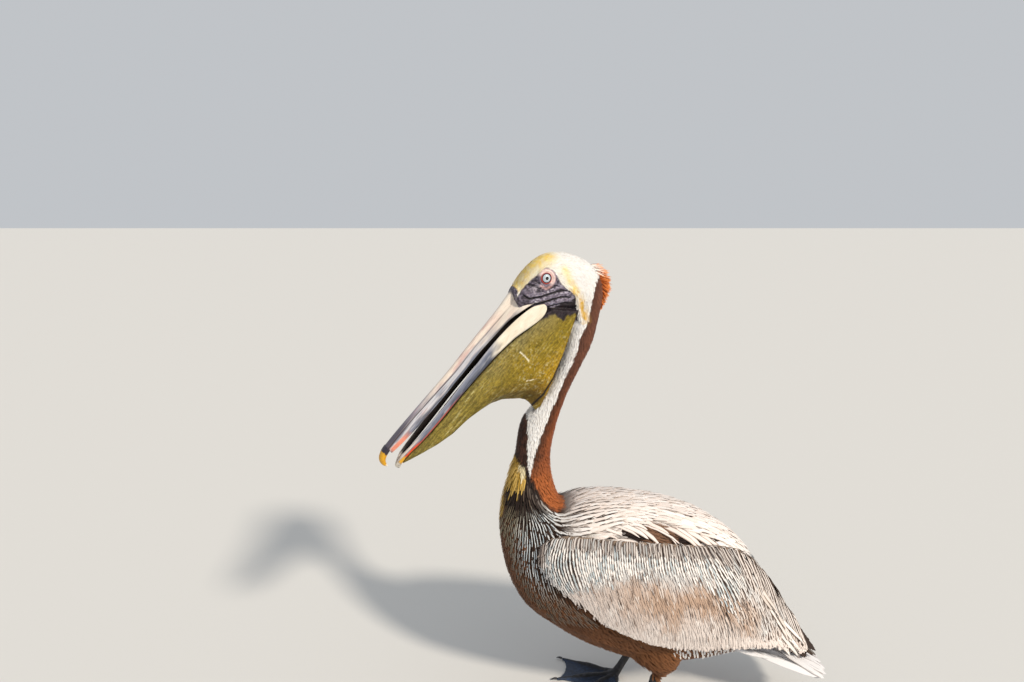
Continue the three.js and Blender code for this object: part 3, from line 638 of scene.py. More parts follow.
def bare_tone(points, straight, bare, over_pouch, normals):
    core, edge, _ = markings(points, head_turn(points, over_pouch))
    y, z = straight[:, 1], straight[:, 2]

    # Cheek: pale mottles on the folds, lightest on their crests as a painted highlight, and dark in
    # the creases as painted shade.
    height = fold_height(straight)
    fine = grain(straight * [1, 1, 1.8], 2.4, 12)
    pale = ease(fine, 0.42, 0.75) * ease(grain(straight, 8, 13), 0.2, 0.6)
    ring = from_eye(straight)
    spot = z - EYE_AT[2] + 0.75 * (y - EYE_AT[1])
    rosy = ease(-ring, -14.5, -12.2) * ease(spot, -8, 0)
    light = ease(inside(CHEEK_PALE, straight), -3, 3) * ease(fine, 0.3, 0.7)
    # Painted shade in the corner of the mouth.
    corner = ease(inside(SHADED_MOUTH_CORNER, straight) + (grain(straight, 5, 19) - 0.5) * 6, -2.5, 1.5)
    cheek = layered(
        blend("#29222d", "#6f6676", ease(height + fine * 1.4, -0.2, 2.0)),
        ("#bcb4c6", pale * ease(height, -0.6, 1.0) * 0.9),
        ("#dcd6dd", ease(fine, 0.68, 0.86) * ease(height, 0.2, 1.2) * 0.6),
        ("#241e27", ease(y, -26, -6) * 0.45),
        # Painted shade in the creases.
        ("#141117", ease(-height, 0.3, 1.2)),
        ("#bdb3bf", hump(apart(BELOW_EYE, straight), 0, 4) * ease(fine, 0.2, 0.6) * 0.8),
        ("#ecd0c9", rosy),
        ("#b895a0", hump(ring, 13.6, 0.9) * ease(spot, -8, 0) * 0.6),
        ("#8f7d8c", ease(-ring, -12, -10) * (1 - rosy) * 0.6),
        ("#d6a9a6", hump(apart(EYE_BAG, straight), 0, 1.6) * 0.8),
        (blend("#c04438", "#a1565a", ease(spot, -7, 2)), ease(-ring, -8.7, -8.0)),
        ("#3d1a20", ease(-ring, -7.3, -6.8)),
        ("#a39aad", light * ease(height, -0.8, 0.6) * 0.75),
        (blend("#171114", "#3a3138", fine), corner))

    # Pouch: olive, golden towards the neck, with a dark keel, fine lines, specks and scratches.
    along, over = bill_place(straight)
    under = curve(BAR_LOW, along) - over
    keel, rear = apart(POUCH_KEEL, straight), apart(POUCH_REAR_EDGE, straight)
    streak = grain(joined(along / 26, over / 1.5, straight[:, 0] / 9), 1, 15)
    speck, cloud = grain(straight, 1.9, 16), grain(straight, 16, 17)
    front = ease(along, 60, 170)
    scratch = np.minimum(apart(SCRATCHES[0], straight) / 0.9, apart(SCRATCHES[1], straight) / 0.6)
    sac = layered(
        blend("#8a7d4c", "#87731f", ease(under + cloud * 26, 6, 46)),
        ("#9c7d14", ease(-z + 14 * cloud, -600, -548) * ease(-along, -120, -40) * 0.8),
        ("#a9851e", hump(rear, 0, 15) * ease(-z, -630, -570) * 0.8),
        ("#5c3e03", ease(-keel, -38, -8) * ease(-along, -190, -120) * 0.85),
        ("#3f2a07", ease(-keel, -6, -1) * ease(-along, -170, -110) * 0.7),
        ("#8a7b36", front * 0.75),
        (0.5, ease(streak, 0.45, 0.8) * (0.25 + 0.6 * front)),
        ("#cfc793", ease(-streak, -0.3, -0.08) * (0.15 + 0.45 * front)),
        ("#bdb489", ease(speck, 0.6, 0.85) * ease(cloud, 0.25, 0.75) * 0.6 * (1 - front)),
        (0.45, ease(-speck, -0.34, -0.12) * 0.6 * (1 - front)),
        ("#e9e2c6", ease(-scratch, -1.3, -0.5)),
        ("#1c1917",
         ease(-under, -curve([(-20, 7), (20, 3.2), (60, 2.4), (300, 1.4)], along), -0.4)),
        ("#1b1716", ease(-rear, -2.6, -0.9)),
        # Painted shade in the corner of the mouth, as on the cheek.
        (blend("#171114", "#3a3138", speck), corner),
        # Painted shade inside the mouth: the top of the pouch between the bars is near black.
        ("#140f0e", ease(normals @ BILL_UP, 0.2, 0.5) * ease(-under, -3, 1)))

    scale = grain(points, 3, 18)
    # Legs near black; lowest down, on the soles and webs, a painted reflection of blue.
    leg = layered(blend("#17171b", "#303039", ease(scale, 0.3, 0.9)),
                  (blend("#1c2536", "#2d4262", scale), ease(-points[:, 2], -5.5, -3.5)))
    return layered(blend(core * 0.7, edge * 0.7, 0.4),
                   (cheek, ease(bare, -1.2, 0.6) * (points[:, 2] > 600)),
                   (sac, ease(over_pouch, -0.8, 0.4)),
                   (leg, ease(-points[:, 2], -79, -75)))


def set_colours(mesh, name, values, alpha=1.0):
    layer = mesh.attributes.new(name, "FLOAT_COLOR", "POINT")
    alpha = np.broadcast_to(alpha, (len(values),))
    layer.data.foreach_set("color", np.c_[values, alpha].astype(np.float32).ravel())


points = points_of(skin_mesh)
straight, bare, over_pouch = bare_parts(points)
normals = spun(normals_of(skin_mesh), -head_turn(points, over_pouch))
set_colours(skin_mesh, "tone", bare_tone(points, straight, bare, over_pouch, normals))


def coloured(name, roughness):
    """A material for a piece's own colours, handed back with its node tree, its shader, those
    colours and the place on the piece."""
    material, tree, shader = new_material(name, roughness=roughness)
    tone = add_node(tree, "ShaderNodeAttribute", {"attribute_name": "tone"})
    place = add_node(tree, "ShaderNodeTexCoord")
    return material, tree, shader, tone.outputs["Color"], place.outputs["Object"]


def surfaced(tree, shader, tone, relief, strength, distance, shade=None):
    """Feeds colours, made darker or lighter by a shade, and a relief in metres to a shader."""
    if shade:
        scaled = add_node(tree, "ShaderNodeVectorMath", {"operation": "SCALE"},
                          in0=tone, Scale=shade)
        tone = scaled.outputs["Vector"]
    lift = add_node(tree, "ShaderNodeBump", {"Strength": strength, "Distance": distance},
                    Height=relief)
    tree.links.new(tone, shader.inputs["Base Color"])
    tree.links.new(lift.outputs["Normal"], shader.inputs["Normal"])


# Bare feathered skin: thin, dull and downy.
down_skin, tree, shader, tone, place = coloured("downy_skin", 0.85)
fuzz = add_node(tree, "ShaderNodeTexNoise", {"Scale": 900, "Detail": 3}, Vector=place)
surfaced(tree, shader, tone, fuzz.outputs["Fac"], 0.5, 0.0006)

# Cheek and lids: leathery, folded skin with a dull wax-like gloss and a fine grain of 0.6 mm.
face_skin, tree, shader, tone, place = coloured("wrinkled_cheek_skin", 0.5)
cells = add_node(tree, "ShaderNodeTexVoronoi", {"Scale": 620}, Vector=place)
creases = add_node(tree, "ShaderNodeTexNoise", {"Scale": 300, "Detail": 4, "Roughness": 0.65},
                   Vector=place)
relief = add_node(tree, "ShaderNodeMath", {"operation": "MULTIPLY_ADD", 1: 0.5},
                  in0=cells.outputs["Distance"], in2=creases.outputs["Fac"])
shade = add_node(tree, "ShaderNodeMapRange",
                 {"From Min": 0.3, "From Max": 0.7, "To Min": 0.72, "To Max": 1.2},
                 Value=creases.outputs["Fac"])
surfaced(tree, shader, tone, relief.outputs[0], 0.55, 0.0008, shade.outputs[0])
shader.inputs["Subsurface Weight"].default_value = 0.05
shader.inputs["Specular IOR Level"].default_value = 0.3

# Pouch: elastic, half-bare skin, with fine ridges 1.5 mm apart that run with the bill.
pouch_skin, tree, shader, tone, place = coloured("ridged_pouch_skin", 0.55)
level = add_node(tree, "ShaderNodeMapping", {"Rotation": (-BILL_DOWN, 0, -HEAD_TURN)}, Vector=place)
drawn = add_node(tree, "ShaderNodeMapping", {"Scale": (1, 0.14, 1)}, Vector=level.outputs["Vector"])
ridges = add_node(tree, "ShaderNodeTexNoise", {"Scale": 650, "Detail": 3, "Roughness": 0.6},
                  Vector=drawn.outputs["Vector"])
pits = add_node(tree, "ShaderNodeTexNoise", {"Scale": 330, "Detail": 5, "Roughness": 0.7},
                Vector=place)
relief = add_node(tree, "ShaderNodeMath", {"operation": "MULTIPLY_ADD", 1: 0.8},
                  in0=pits.outputs["Fac"], in2=ridges.outputs["Fac"])
shade = add_node(tree, "ShaderNodeMapRange",
                 {"From Min": 0.68, "From Max": 1.1, "To Min": 0.5, "To Max": 1.4},
                 Value=relief.outputs[0])
surfaced(tree, shader, tone, relief.outputs[0], 0.6, 0.0009, shade.outputs[0])
shader.inputs["Subsurface Weight"].default_value = 0.06
shader.inputs["Specular IOR Level"].default_value = 0.2

# Legs and webs: small horny plates about 2.5 mm across on black, leathery skin.
leg_skin, tree, shader, tone, place = coloured("scaled_leg_skin", 0.42)
plates = add_node(tree, "ShaderNodeTexVoronoi", {"feature": "DISTANCE_TO_EDGE", "Scale": 400},
                  Vector=place)
raised = add_node(tree, "ShaderNodeMapRange", {"From Max": 0.16}, Value=plates.outputs["Distance"])
shade = add_node(tree, "ShaderNodeMapRange", {"To Min": 0.55, "To Max": 1.15},
                 Value=raised.outputs[0])
surfaced(tree, shader, tone, raised.outputs[0], 0.7, 0.0006, shade.outputs[0])

corner_of = np.empty(len(skin_mesh.loops), np.int32)
skin_mesh.loops.foreach_get("vertex_index", corner_of)
first = np.empty(len(skin_mesh.polygons), np.int32)
skin_mesh.polygons.foreach_get("loop_start", first)
lead = corner_of[first]
kind = np.where(over_pouch[lead] > 0, 2, np.where(bare[lead] > -1.5, 1, 0))
kind = np.where(points[lead, 2] < LEG_TOP, 3, kind)
skin = add_piece("skin", skin_mesh, [down_skin, face_skin, pouch_skin, leg_skin])
skin_mesh.polygons.foreach_set("material_index", kind.astype(np.int32))
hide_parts(*FLESH)

# ---- Eyes ------------------------------------------------------------------------------------
# A wet, clear-fronted ball behind each pair of lids: black pupil, pale blue-grey iris with fine
# spokes, and a dark ring at its edge. Only 13 mm of its 18 mm shows.

PUPIL = 2.6
IRIS_EDGE = 5.9


def loft(rings):
    """Faces of a tube through rings of equal point counts, closed at both ends."""
    count, around = rings.shape[:2]
    index = np.arange(count * around).reshape(count, around)
    ahead = np.roll(index, -1, 1)
    faces = np.stack([index[:-1], ahead[:-1], ahead[1:], index[1:]], -1).reshape(-1, 4).tolist()
    return faces + [index[0, ::-1].tolist(), index[-1].tolist()]


def mesh_from(name, points, faces):
    mesh = bpy.data.meshes.new(name)
    mesh.from_pydata([tuple(p) for p in to_row(points)], [], faces)
    work = bmesh.new()
    work.from_mesh(mesh)
    bmesh.ops.recalc_face_normals(work, faces=work.faces)
    work.to_mesh(mesh)
    work.free()
    mesh.update()
    return mesh


# Eye: clear and wet, with a sharp highlight.
eye_glass, tree, shader = new_material("wet_eye", roughness=0.18)
tone = add_node(tree, "ShaderNodeAttribute", {"attribute_name": "tone"})
tree.links.new(tone.outputs["Color"], shader.inputs["Base Color"])
shader.inputs["Coat Weight"].default_value = 1
shader.inputs["Coat Roughness"].default_value = 0.03
shader.inputs["IOR"].default_value = 1.38

for side, sign in SIDES:
    tilt = np.r_[np.linspace(0.02, 0.85, 26), np.linspace(0.92, math.pi - 0.02, 16)]
    spin = np.linspace(0, 2 * math.pi, 48, endpoint=False)
    tilt, spin = np.meshgrid(tilt, spin, indexing="ij")
    ball = EYE_RADIUS * joined(sign * np.cos(tilt), np.sin(tilt) * np.cos(spin),
                               np.sin(tilt) * np.sin(spin))
    ball += np.array([sign * EYE_AT[0], EYE_AT[1], EYE_AT[2]])
    out = EYE_RADIUS * np.sin(tilt).ravel()
    out = np.where(tilt.ravel() > 1.5, EYE_RADIUS, out)
    spokes = grain(joined(np.cos(spin) * 5, np.sin(spin) * 5, tilt * 1.2).reshape(-1, 3), 0.55, 21)
    tone = layered(
        blend("#b9c9d4", "#eef4f7", ease(out, 3.6, 2.6) + 0.4 * spokes),
        ("#8fa3b4", hump(out, 4.0, 0.7) * 0.5),
        ("#050506", ease(-out, -PUPIL - 0.15, -PUPIL + 0.15)),
        ("#2a2026", ease(out, IRIS_EDGE - 0.35, IRIS_EDGE + 0.1)),
        ("#6e2326", ease(out, IRIS_EDGE + 0.5, IRIS_EDGE + 0.9)))
    mesh = mesh_from(f"eyeball_{side}", spun(ball.reshape(-1, 3), HEAD_TURN) + PIVOT, loft(ball))
    set_colours(mesh, "tone", tone)
    eye = add_piece(f"eyeball_{side}", mesh, [eye_glass])
    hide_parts(f"eye_{side}")

# ---- Upper bill ------------------------------------------------------------------------------
# Horn over bone: a round ridge between two grooves, with a thin plate flaring down on each side
# to the edge of the mouth, and a hooked yellow nail that grips at the tip.

UPPER_SECTIONS = [
    # along, ridge, edge of the mouth, its half width, height of the groove
    [-22, 0, -42, 20, -12],
    [0, 0, -32, 20, -11],
    [18, -1, -26, 19.5, -12],
    [36, -2, -21, 19, -11.5],
    [62, -2, -18.5, 18.2, -10.5],
    [100, -2, -16.5, 17.2, -9],
    [145, -2.5, -16.5, 16.6, -9.4],
    [190, -1, -16, 16.2, -6.5],
    [230, 0.5, -14.5, 15.6, -4],
    [262, 1.5, -12.5, 13.8, -3],
    [286, 1.5, -10.5, 9.5, -3],
]


def spline(rows, places, closed=False):
    """A smooth curve through rows, read at places that are counted in rows."""
    rows = np.asarray(rows, float)
    size = len(rows)
    low = np.floor(places).astype(int)
    if not closed:
        low = np.clip(low, 0, size - 2)
    t = (np.asarray(places) - low).reshape((-1,) + (1,) * (rows.ndim - 1))
    around = [(low + k) % size if closed else np.clip(low + k, 0, size - 1) for k in (-1, 0, 1, 2)]
    before, start, end, after = (rows[index] for index in around)
    rise, fall = (end - before) / 2, (after - start) / 2
    return ((2 * t ** 3 - 3 * t ** 2 + 1) * start + (t ** 3 - 2 * t ** 2 + t) * rise
            + (3 * t ** 2 - 2 * t ** 3) * end + (t ** 3 - t ** 2) * fall)


def bill_points(along, over, side):
    """From distance down the bill, height and side to the bird's own axes."""
    base = BILL_ROOT + along[..., None] * BILL_ALONG + over[..., None] * BILL_UP
    base[..., 0] = side
    return spun(base, HEAD_TURN) + PIVOT


def fine_net(rings, long, round_):
    """A fine grid drawn smoothly through coarse rings."""
    count, around = rings.shape[:2]
    dense = spline(rings, np.linspace(0, count - 1, long))
    fine = spline(np.swapaxes(dense, 0, 1), np.arange(round_) * around / round_, closed=True)
    return np.swapaxes(fine, 0, 1)


rings = []
stations = np.linspace(0, len(UPPER_SECTIONS) - 1, 31)
for along, ridge, edge, half, groove in spline(UPPER_SECTIONS, stations):
    deep = ridge - edge
    right = [(0, ridge), (3.0, ridge - 0.6), (5.2, ridge - min(3, deep * 0.2)), (6.3, groove + 1.6),
             (7.0, groove), (8.4, groove - 0.5), (half * 0.72, edge + (groove - edge) * 0.62),
             (half * 0.92, edge + (groove - edge) * 0.28), (half, edge + 1.4),
             (half - 0.7, edge + 0.1), (half - 2.6, edge + 1.0),
             (half * 0.6, edge + deep * 0.2), (half * 0.25, edge + deep * 0.26)]
    left = [(-s, n) for s, n in right[:0:-1]]
    rings.append([(along, n, s) for s, n in right + left])
UPPER_LONG, UPPER_ROUND = 230, 100
net = fine_net(np.array(rings), UPPER_LONG, UPPER_ROUND)
ring = np.tile(np.arange(UPPER_ROUND) * len(rings[0]) / UPPER_ROUND, UPPER_LONG)
along, over, side = net.reshape(-1, 3).T
upper_mesh = mesh_from("upper_bill", bill_points(along, over, side), loft(net))

# Down to this height over the bill's top line the plate is pale, and blue-grey below it.
STEEL_EDGE = [(12, -21), (34, -20), (56, -19), (78, -18.5), (90, -15), (123, -14), (166, -12),
              (250, -7)]


def upper_tone(along, over, side, ring):
    rows = np.array(UPPER_SECTIONS, float).T
    edge, groove = (np.interp(along, rows[0], rows[column]) for column in (2, 4))
    long_grain = grain(joined(along / 22, over / 1.3, side / 1.3), 1, 31)
    thin_grain = grain(joined(along / 40, over / 0.7, side / 0.7), 1, 32)
    cloud = grain(joined(along / 18, over / 5, side / 5), 1, 33)
    on_ridge = ease(-np.abs(side), -6.8, -6.0)
    band = curve(STEEL_EDGE, along)
    below = ease(band - over + (long_grain - 0.5) * 5, -1.5, 2.5) * (1 - on_ridge)
    line = hump(np.abs(side), 7.1, 0.85) * hump(over, groove, 1.6) * ease(along, 14, 44)
    tip_dark = ease(along + 26 * (long_grain - 0.5), 205, 262) * (1 - ease(along, 284, 290))
    return layered(
        blend("#efe5d6", "#e3cfc2", cloud),
        (blend("#ecdccd", "#cfa9a4", ease(cloud, 0.3, 0.9)), on_ridge * ease(along, 20, 90) * 0.8),
        ("#8d8fa0", on_ridge * ease(along + 30 * cloud, 170, 235) * 0.75),
        # The plate: pale above, blue-grey along the edge of the mouth, in long mottles.
        (blend("#9298a8", "#4c5264", ease(long_grain + 0.4 * cloud, 0.35, 0.95)),
         below * ease(along, 4, 40) * 0.9),
        # Painted shade along the lower edge of the plate near the base.
        ("#30323e", ease(-(over - edge), -3.4, -1.6) * ease(along, 4, 40) * 0.8),
        ("#cfd3dd", (1 - on_ridge) * (1 - below) * ease(along + 20 * cloud, 60, 130) * 0.75),
        ("#8e93a4", ease(long_grain, 0.5, 0.8) * (1 - on_ridge) * ease(along, 30, 110) * 0.7),
        ("#c99f97", ease(-thin_grain, -0.3, -0.1) * ease(along, 40, 120) * 0.5),
        # The tip: dark ridge, and coral at the edge of the mouth.
        ("#3b3748", tip_dark * ease(over - groove + 1.5 * cloud, -2, 1) * 0.85),
        ("#f0957a", ease(along, 244, 262) * ease(-along, -288, -280)
         * ease(-(over - edge), -6.5, -4)),
        ("#4a3a3c", line * (0.65 + 0.35 * ease(along, 80, 180))),
        ("#5a5257", ease(-along + 0.4 * over, -9, -2) * 0.9),
        # Inside the mouth: painted shade, near black.
        ("#17110f", ease(-np.abs(ring - 12.5), -3.1, -2.7)))


set_colours(upper_mesh, "tone", upper_tone(along, over, side, ring))
bill_horn, tree, shader, tone, place = coloured("layered_bill_horn", 0.38)
level = add_node(tree, "ShaderNodeMapping", {"Rotation": (-BILL_DOWN, 0, -HEAD_TURN)}, Vector=place)
drawn = add_node(tree, "ShaderNodeMapping", {"Scale": (1, 0.06, 1)}, Vector=level.outputs["Vector"])
fibre = add_node(tree, "ShaderNodeTexNoise", {"Scale": 900, "Detail": 4, "Roughness": 0.6},
                 Vector=drawn.outputs["Vector"])
chips = add_node(tree, "ShaderNodeTexNoise", {"Scale": 210, "Detail": 5, "Roughness": 0.7},
                 Vector=place)
relief = add_node(tree, "ShaderNodeMath", {"operation": "MULTIPLY_ADD", 1: 0.6},
                  in0=chips.outputs["Fac"], in2=fibre.outputs["Fac"])
shade = add_node(tree, "ShaderNodeMapRange",
                 {"From Min": 0.3, "From Max": 0.7, "To Min": 0.82, "To Max": 1.1},
                 Value=fibre.outputs["Fac"])
worn = add_node(tree, "ShaderNodeMapRange",
                {"From Min": 0.35, "From Max": 0.7, "To Min": 0.28, "To Max": 0.55},
                Value=chips.outputs["Fac"])
surfaced(tree, shader, tone, relief.outputs[0], 0.35, 0.0005, shade.outputs[0])
tree.links.new(worn.outputs[0], shader.inputs["Roughness"])
upper = add_piece("upper_bill", upper_mesh, [bill_horn])
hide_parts("bill_upper")

# The nail grows over the tip and hooks down.
NAIL_SECTIONS = [
    # along, over, half height, half width, lean of the section in degrees
    [284.5, -3.2, 5.2, 8.7, 0], [290, -3.6, 5.4, 8.4, 4], [295, -4.6, 5.2, 8.0, 12],
    [300, -6.6, 5.0, 7.3, 32], [303.5, -9.8, 4.4, 6.2, 55], [305.5, -14, 3.2, 4.6, 78],
    [306, -17.6, 2.1, 3.1, 88], [306, -20.5, 0.9, 1.4, 96],
]
spin = np.linspace(0, 2 * math.pi, 36, endpoint=False)
rings = []
for along, over, tall, half, lean in spline(NAIL_SECTIONS, np.linspace(0, len(NAIL_SECTIONS) - 1, 44)):
    up = np.cos(spin) * tall
    tilt = math.radians(lean)
    rings.append(joined(along + up * math.sin(tilt), over + up * math.cos(tilt),
                        np.sin(spin) * half))
net = np.array(rings)
along, over, side = net.reshape(-1, 3).T
nail_mesh = mesh_from("bill_tip", bill_points(along, over, side), loft(net))
cloud = grain(joined(along, over, side), 3, 35)
tone = layered(blend("#dfa51c", "#c97f14", ease(cloud, 0.5, 0.9) * 0.6),
               ("#2f2a38", ease(-along + 4 * cloud, -292.5, -290.5)),
               ("#f3ecd8", ease(-over, 15, 19)))
set_colours(nail_mesh, "tone", tone)
nail = add_piece("bill_tip", nail_mesh, [bill_horn])
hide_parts("bill_nail")

# ---- Lower bill ------------------------------------------------------------------------------
# Two thin springy bars of horn that part behind the tip and hold the pouch open between them.
# Each has a cream plate at the corner of the mouth, is slate blue ahead of it, and ends in orange.

LOWER_SECTIONS = [
    # along, upper edge, lower edge, half the distance between the bars, thickness of a bar
    [-13, -45, -50, 22.5, 3.4], [-9, -41.5, -54, 22.5, 4.2], [0, -35, -56, 22.3, 5],
    [12, -31, -54.5, 21.8, 5], [28, -27.5, -50, 21.2, 5], [52, -24.5, -43.5, 20.2, 4.8],
    [84, -23, -39, 19, 4.4], [124, -23.5, -36.5, 18, 4.2], [168, -25, -35, 17, 4.2],
    [210, -25.2, -35, 15.6, 4.2], [246, -25, -34, 13, 4.4], [268, -24.6, -32, 9.8, 5.2],
    [282, -24.4, -32, 6.2, 6],
]
BAR_SECTION = [(-0.45, 0.12), (-0.2, 0.02), (0.1, 0), (0.42, 0.14), (0.52, 0.4), (0.48, 0.7),
               (0.26, 0.96), (-0.1, 1), (-0.4, 0.9), (-0.48, 0.5)]

bar = spline(LOWER_SECTIONS, np.linspace(0, len(LOWER_SECTIONS) - 1, 40))
tip = np.array([[292, -26.5, -34, 3.2, 5.6], [297, -28.2, -36.4, 1.2, 4.6]])
rings = []
for sign, rows in ((1, np.vstack([bar, tip])), (-1, np.vstack([bar, tip])[::-1])):
    for along, top, low, half, thick in rows:
        rings.append([(along + (thick * s if along > 295 else 0), top + (low - top) * d,
                       sign * (half + (s if along <= 295 else 0) * thick)) for s, d in BAR_SECTION])
net = fine_net(np.array(rings), 420, 36)
along, over, side = net.reshape(-1, 3).T
lower_mesh = mesh_from("lower_bill", bill_points(along, over, side), loft(net))


def lower_tone(along, over, side):
    rows = np.array(LOWER_SECTIONS, float).T
    top, low, middle = (np.interp(along, rows[0], row) for row in rows[1:4])
    down = (top - over) / (top - low)
    long_grain = grain(joined(along / 16, over / 1.4, side / 3), 1, 41)
    cloud = grain(joined(along / 14, over / 5, side / 5), 1, 42)
    chipped = ease(grain(joined(along, over, side), 2.4, 43), 0.6, 0.8)
    slate = layered(blend("#7f8496", "#454b5c", ease(down + 0.9 * (long_grain - 0.5), 0.1, 0.8)),
                    ("#b4b6c0", ease(long_grain, 0.66, 0.88) * 0.5))
    change = ease(along + 16 * (cloud - 0.5) - 14 * (down - 0.5), 70, 92)
    red = ease(along, 150, 200) * ease(-along, -292, -284)
    return layered(
        blend("#f4ecdb", "#e9dcc4", cloud),
        (slate, change),
        ("#c3c0c4", ease(-down, -0.14, -0.05) * change * 0.5),
        ("#35303a", ease(down, 0.86, 0.97) * ease(along, 10, 60) * 0.85),
        ("#c8502c", red * hump(down, 0.84, 0.1) * 0.85),
        # The tip: orange and ochre below, pale above, and a chipped grey end.
        ("#e04f22", ease(along, 246, 262) * ease(-along, -286, -281) * ease(down, 0.42, 0.6)),
        ("#e9dccf", ease(along, 236, 262) * ease(-down, -0.42, -0.25) * 0.8),
        ("#e8ae28", ease(along, 277, 283) * ease(down, 0.3, 0.5) * ease(-along, -294, -290)),
        ("#d9d2c4", ease(along, 291, 294)),
        ("#4a424c", chipped * ease(along, 288, 294) * 0.8),
        # The inner faces of the bars, in the dark of the mouth.
        ("#171110", ease(middle - np.abs(side), 0.6, 1.2) * ease(-along, -286, -276)))


set_colours(lower_mesh, "tone", lower_tone(along, over, side))
lower = add_piece("lower_bill", lower_mesh, [bill_horn])
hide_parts("bill_lower")

# ---- Claws -----------------------------------------------------------------------------------
# Short curved nails of black horn, mottled with worn grey. The solids stay as they are.

claw_horn, tree, shader = new_material("worn_claw_horn", roughness=0.35)
place = add_node(tree, "ShaderNodeTexCoord")
wear = add_node(tree, "ShaderNodeTexNoise", {"Scale": 260, "Detail": 4},
                Vector=place.outputs["Object"])
ramp = add_node(tree, "ShaderNodeValToRGB", Fac=wear.outputs["Fac"])
for stop, at, code in zip(ramp.color_ramp.elements, (0.35, 0.75), ("#17161a", "#4a474c")):
    stop.position = at
    stop.color = (*paint(code), 1)
surfaced(tree, shader, ramp.outputs["Color"], wear.outputs["Fac"], 0.3, 0.0004)
for name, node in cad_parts.items():
    if name.startswith("claw_"):
        for holder in node.material_slots:
            holder.material = claw_horn

# ---- Coat of the head, neck and body ---------------------------------------------------------
# Thousands of small overlapping feathers, rooted in the skin and lying back along it. Each is
# one thin vane with a pale or dark edge. They are shortest round the face and longest on the
# back, and they were laid from the bill towards the tail.

# Which way the feathers lie, in side view: y from the turning axis of the head, height, and the
# angle in degrees up from level and rearwards.
HEAD_LIE = [
    (-88, 700, 58), (-78, 714, 50), (-58, 731, 34), (-35, 741, 8), (-8, 742, -8), (15, 735, -24),
    (30, 722, -38), (42, 705, -55), (-40, 724, 12), (-25, 712, -20), (-20, 698, -38), (0, 700, -52),
    (20, 700, -62), (-5, 680, -80), (10, 675, -88), (30, 680, -84), (8, 650, -98), (25, 650, -95),
    (45, 660, -92), (5, 620, -108), (30, 620, -104), (-8, 590, -112), (20, 590, -113),
    (-25, 550, -113), (5, 556, -115), (-45, 520, -108), (-15, 520, -107), (-58, 490, -100),
    (-35, 490, -103), (-20, 490, -106), (-62, 455, -95), (-45, 455, -98), (-24, 455, -98),
    (-80, 440, -105), (-85, 415, -106), (-60, 410, -93), (-40, 410, -90), (-28, 410, -86),
    (-95, 380, -103), (-70, 380, -94), (-50, 380, -88), (-35, 375, -75),
]
# The same on the trunk, with y on the bird's own axes.
BODY_LIE = [
    (-200, 340, -95), (-214, 300, -85), (-209, 262, -80), (-196, 215, -66), (-172, 172, -52),
    (-150, 149, -42), (-118, 124, -33), (-83, 103, -28), (-40, 90, -20), (10, 82, -15),
    (60, 82, -12), (110, 86, -8), (160, 95, -2), (200, 100, 5), (-175, 300, -88),
    (-165, 250, -75), (-150, 205, -60), (-120, 170, -45), (-80, 150, -38), (-30, 140, -38),
    (30, 130, -45), (90, 125, -42), (150, 125, -25), (-150, 330, -75), (150, 310, -38),
    (190, 255, -48), (225, 200, -58), (240, 150, -70),
    (-183, 344, -90), (-160, 370, -65), (-146, 352, -45), (-123, 344, -10), (-101, 344, 15),
    (-77, 356, 30), (-63, 342, 25), (-47, 358, 12), (-106, 369, -30), (-75, 361, -35),
    (-28, 367, -15), (0, 365, -12), (28, 356, -20), (92, 343, -22), (160, 311, -35),
    (-3, 336, -15), (72, 328, -15), (125, 302, -20), (198, 255, -45), (-58, 367, -8),
]
LIE_REACH = 14           # within about this distance one direction passes into the next
LIE = HEAD_LIE + [(y - PIVOT[1], z, angle) for y, z, angle in BODY_LIE]


def lie_along(rows, places, normals):
    """The direction in which feathers lie at these places in side view, held to the surface."""
    rows = np.array(rows, float)
    apart2 = ((places[:, None, 1] - rows[:, 0]) ** 2 + (places[:, None, 2] - rows[:, 1]) ** 2)
    weight = 1 / (apart2 + LIE_REACH ** 2) ** 2
    angle = np.radians(rows[:, 2])
    flow = unit(joined(0.0, weight @ np.cos(angle), weight @ np.sin(angle)))
    return along_surface(flow, normals)


def body_lie(points, normals):
    turn = turn_at(points)
    straight = straightened(points, turn)
    return spun(lie_along(LIE, straight, spun(normals, -turn)), turn)


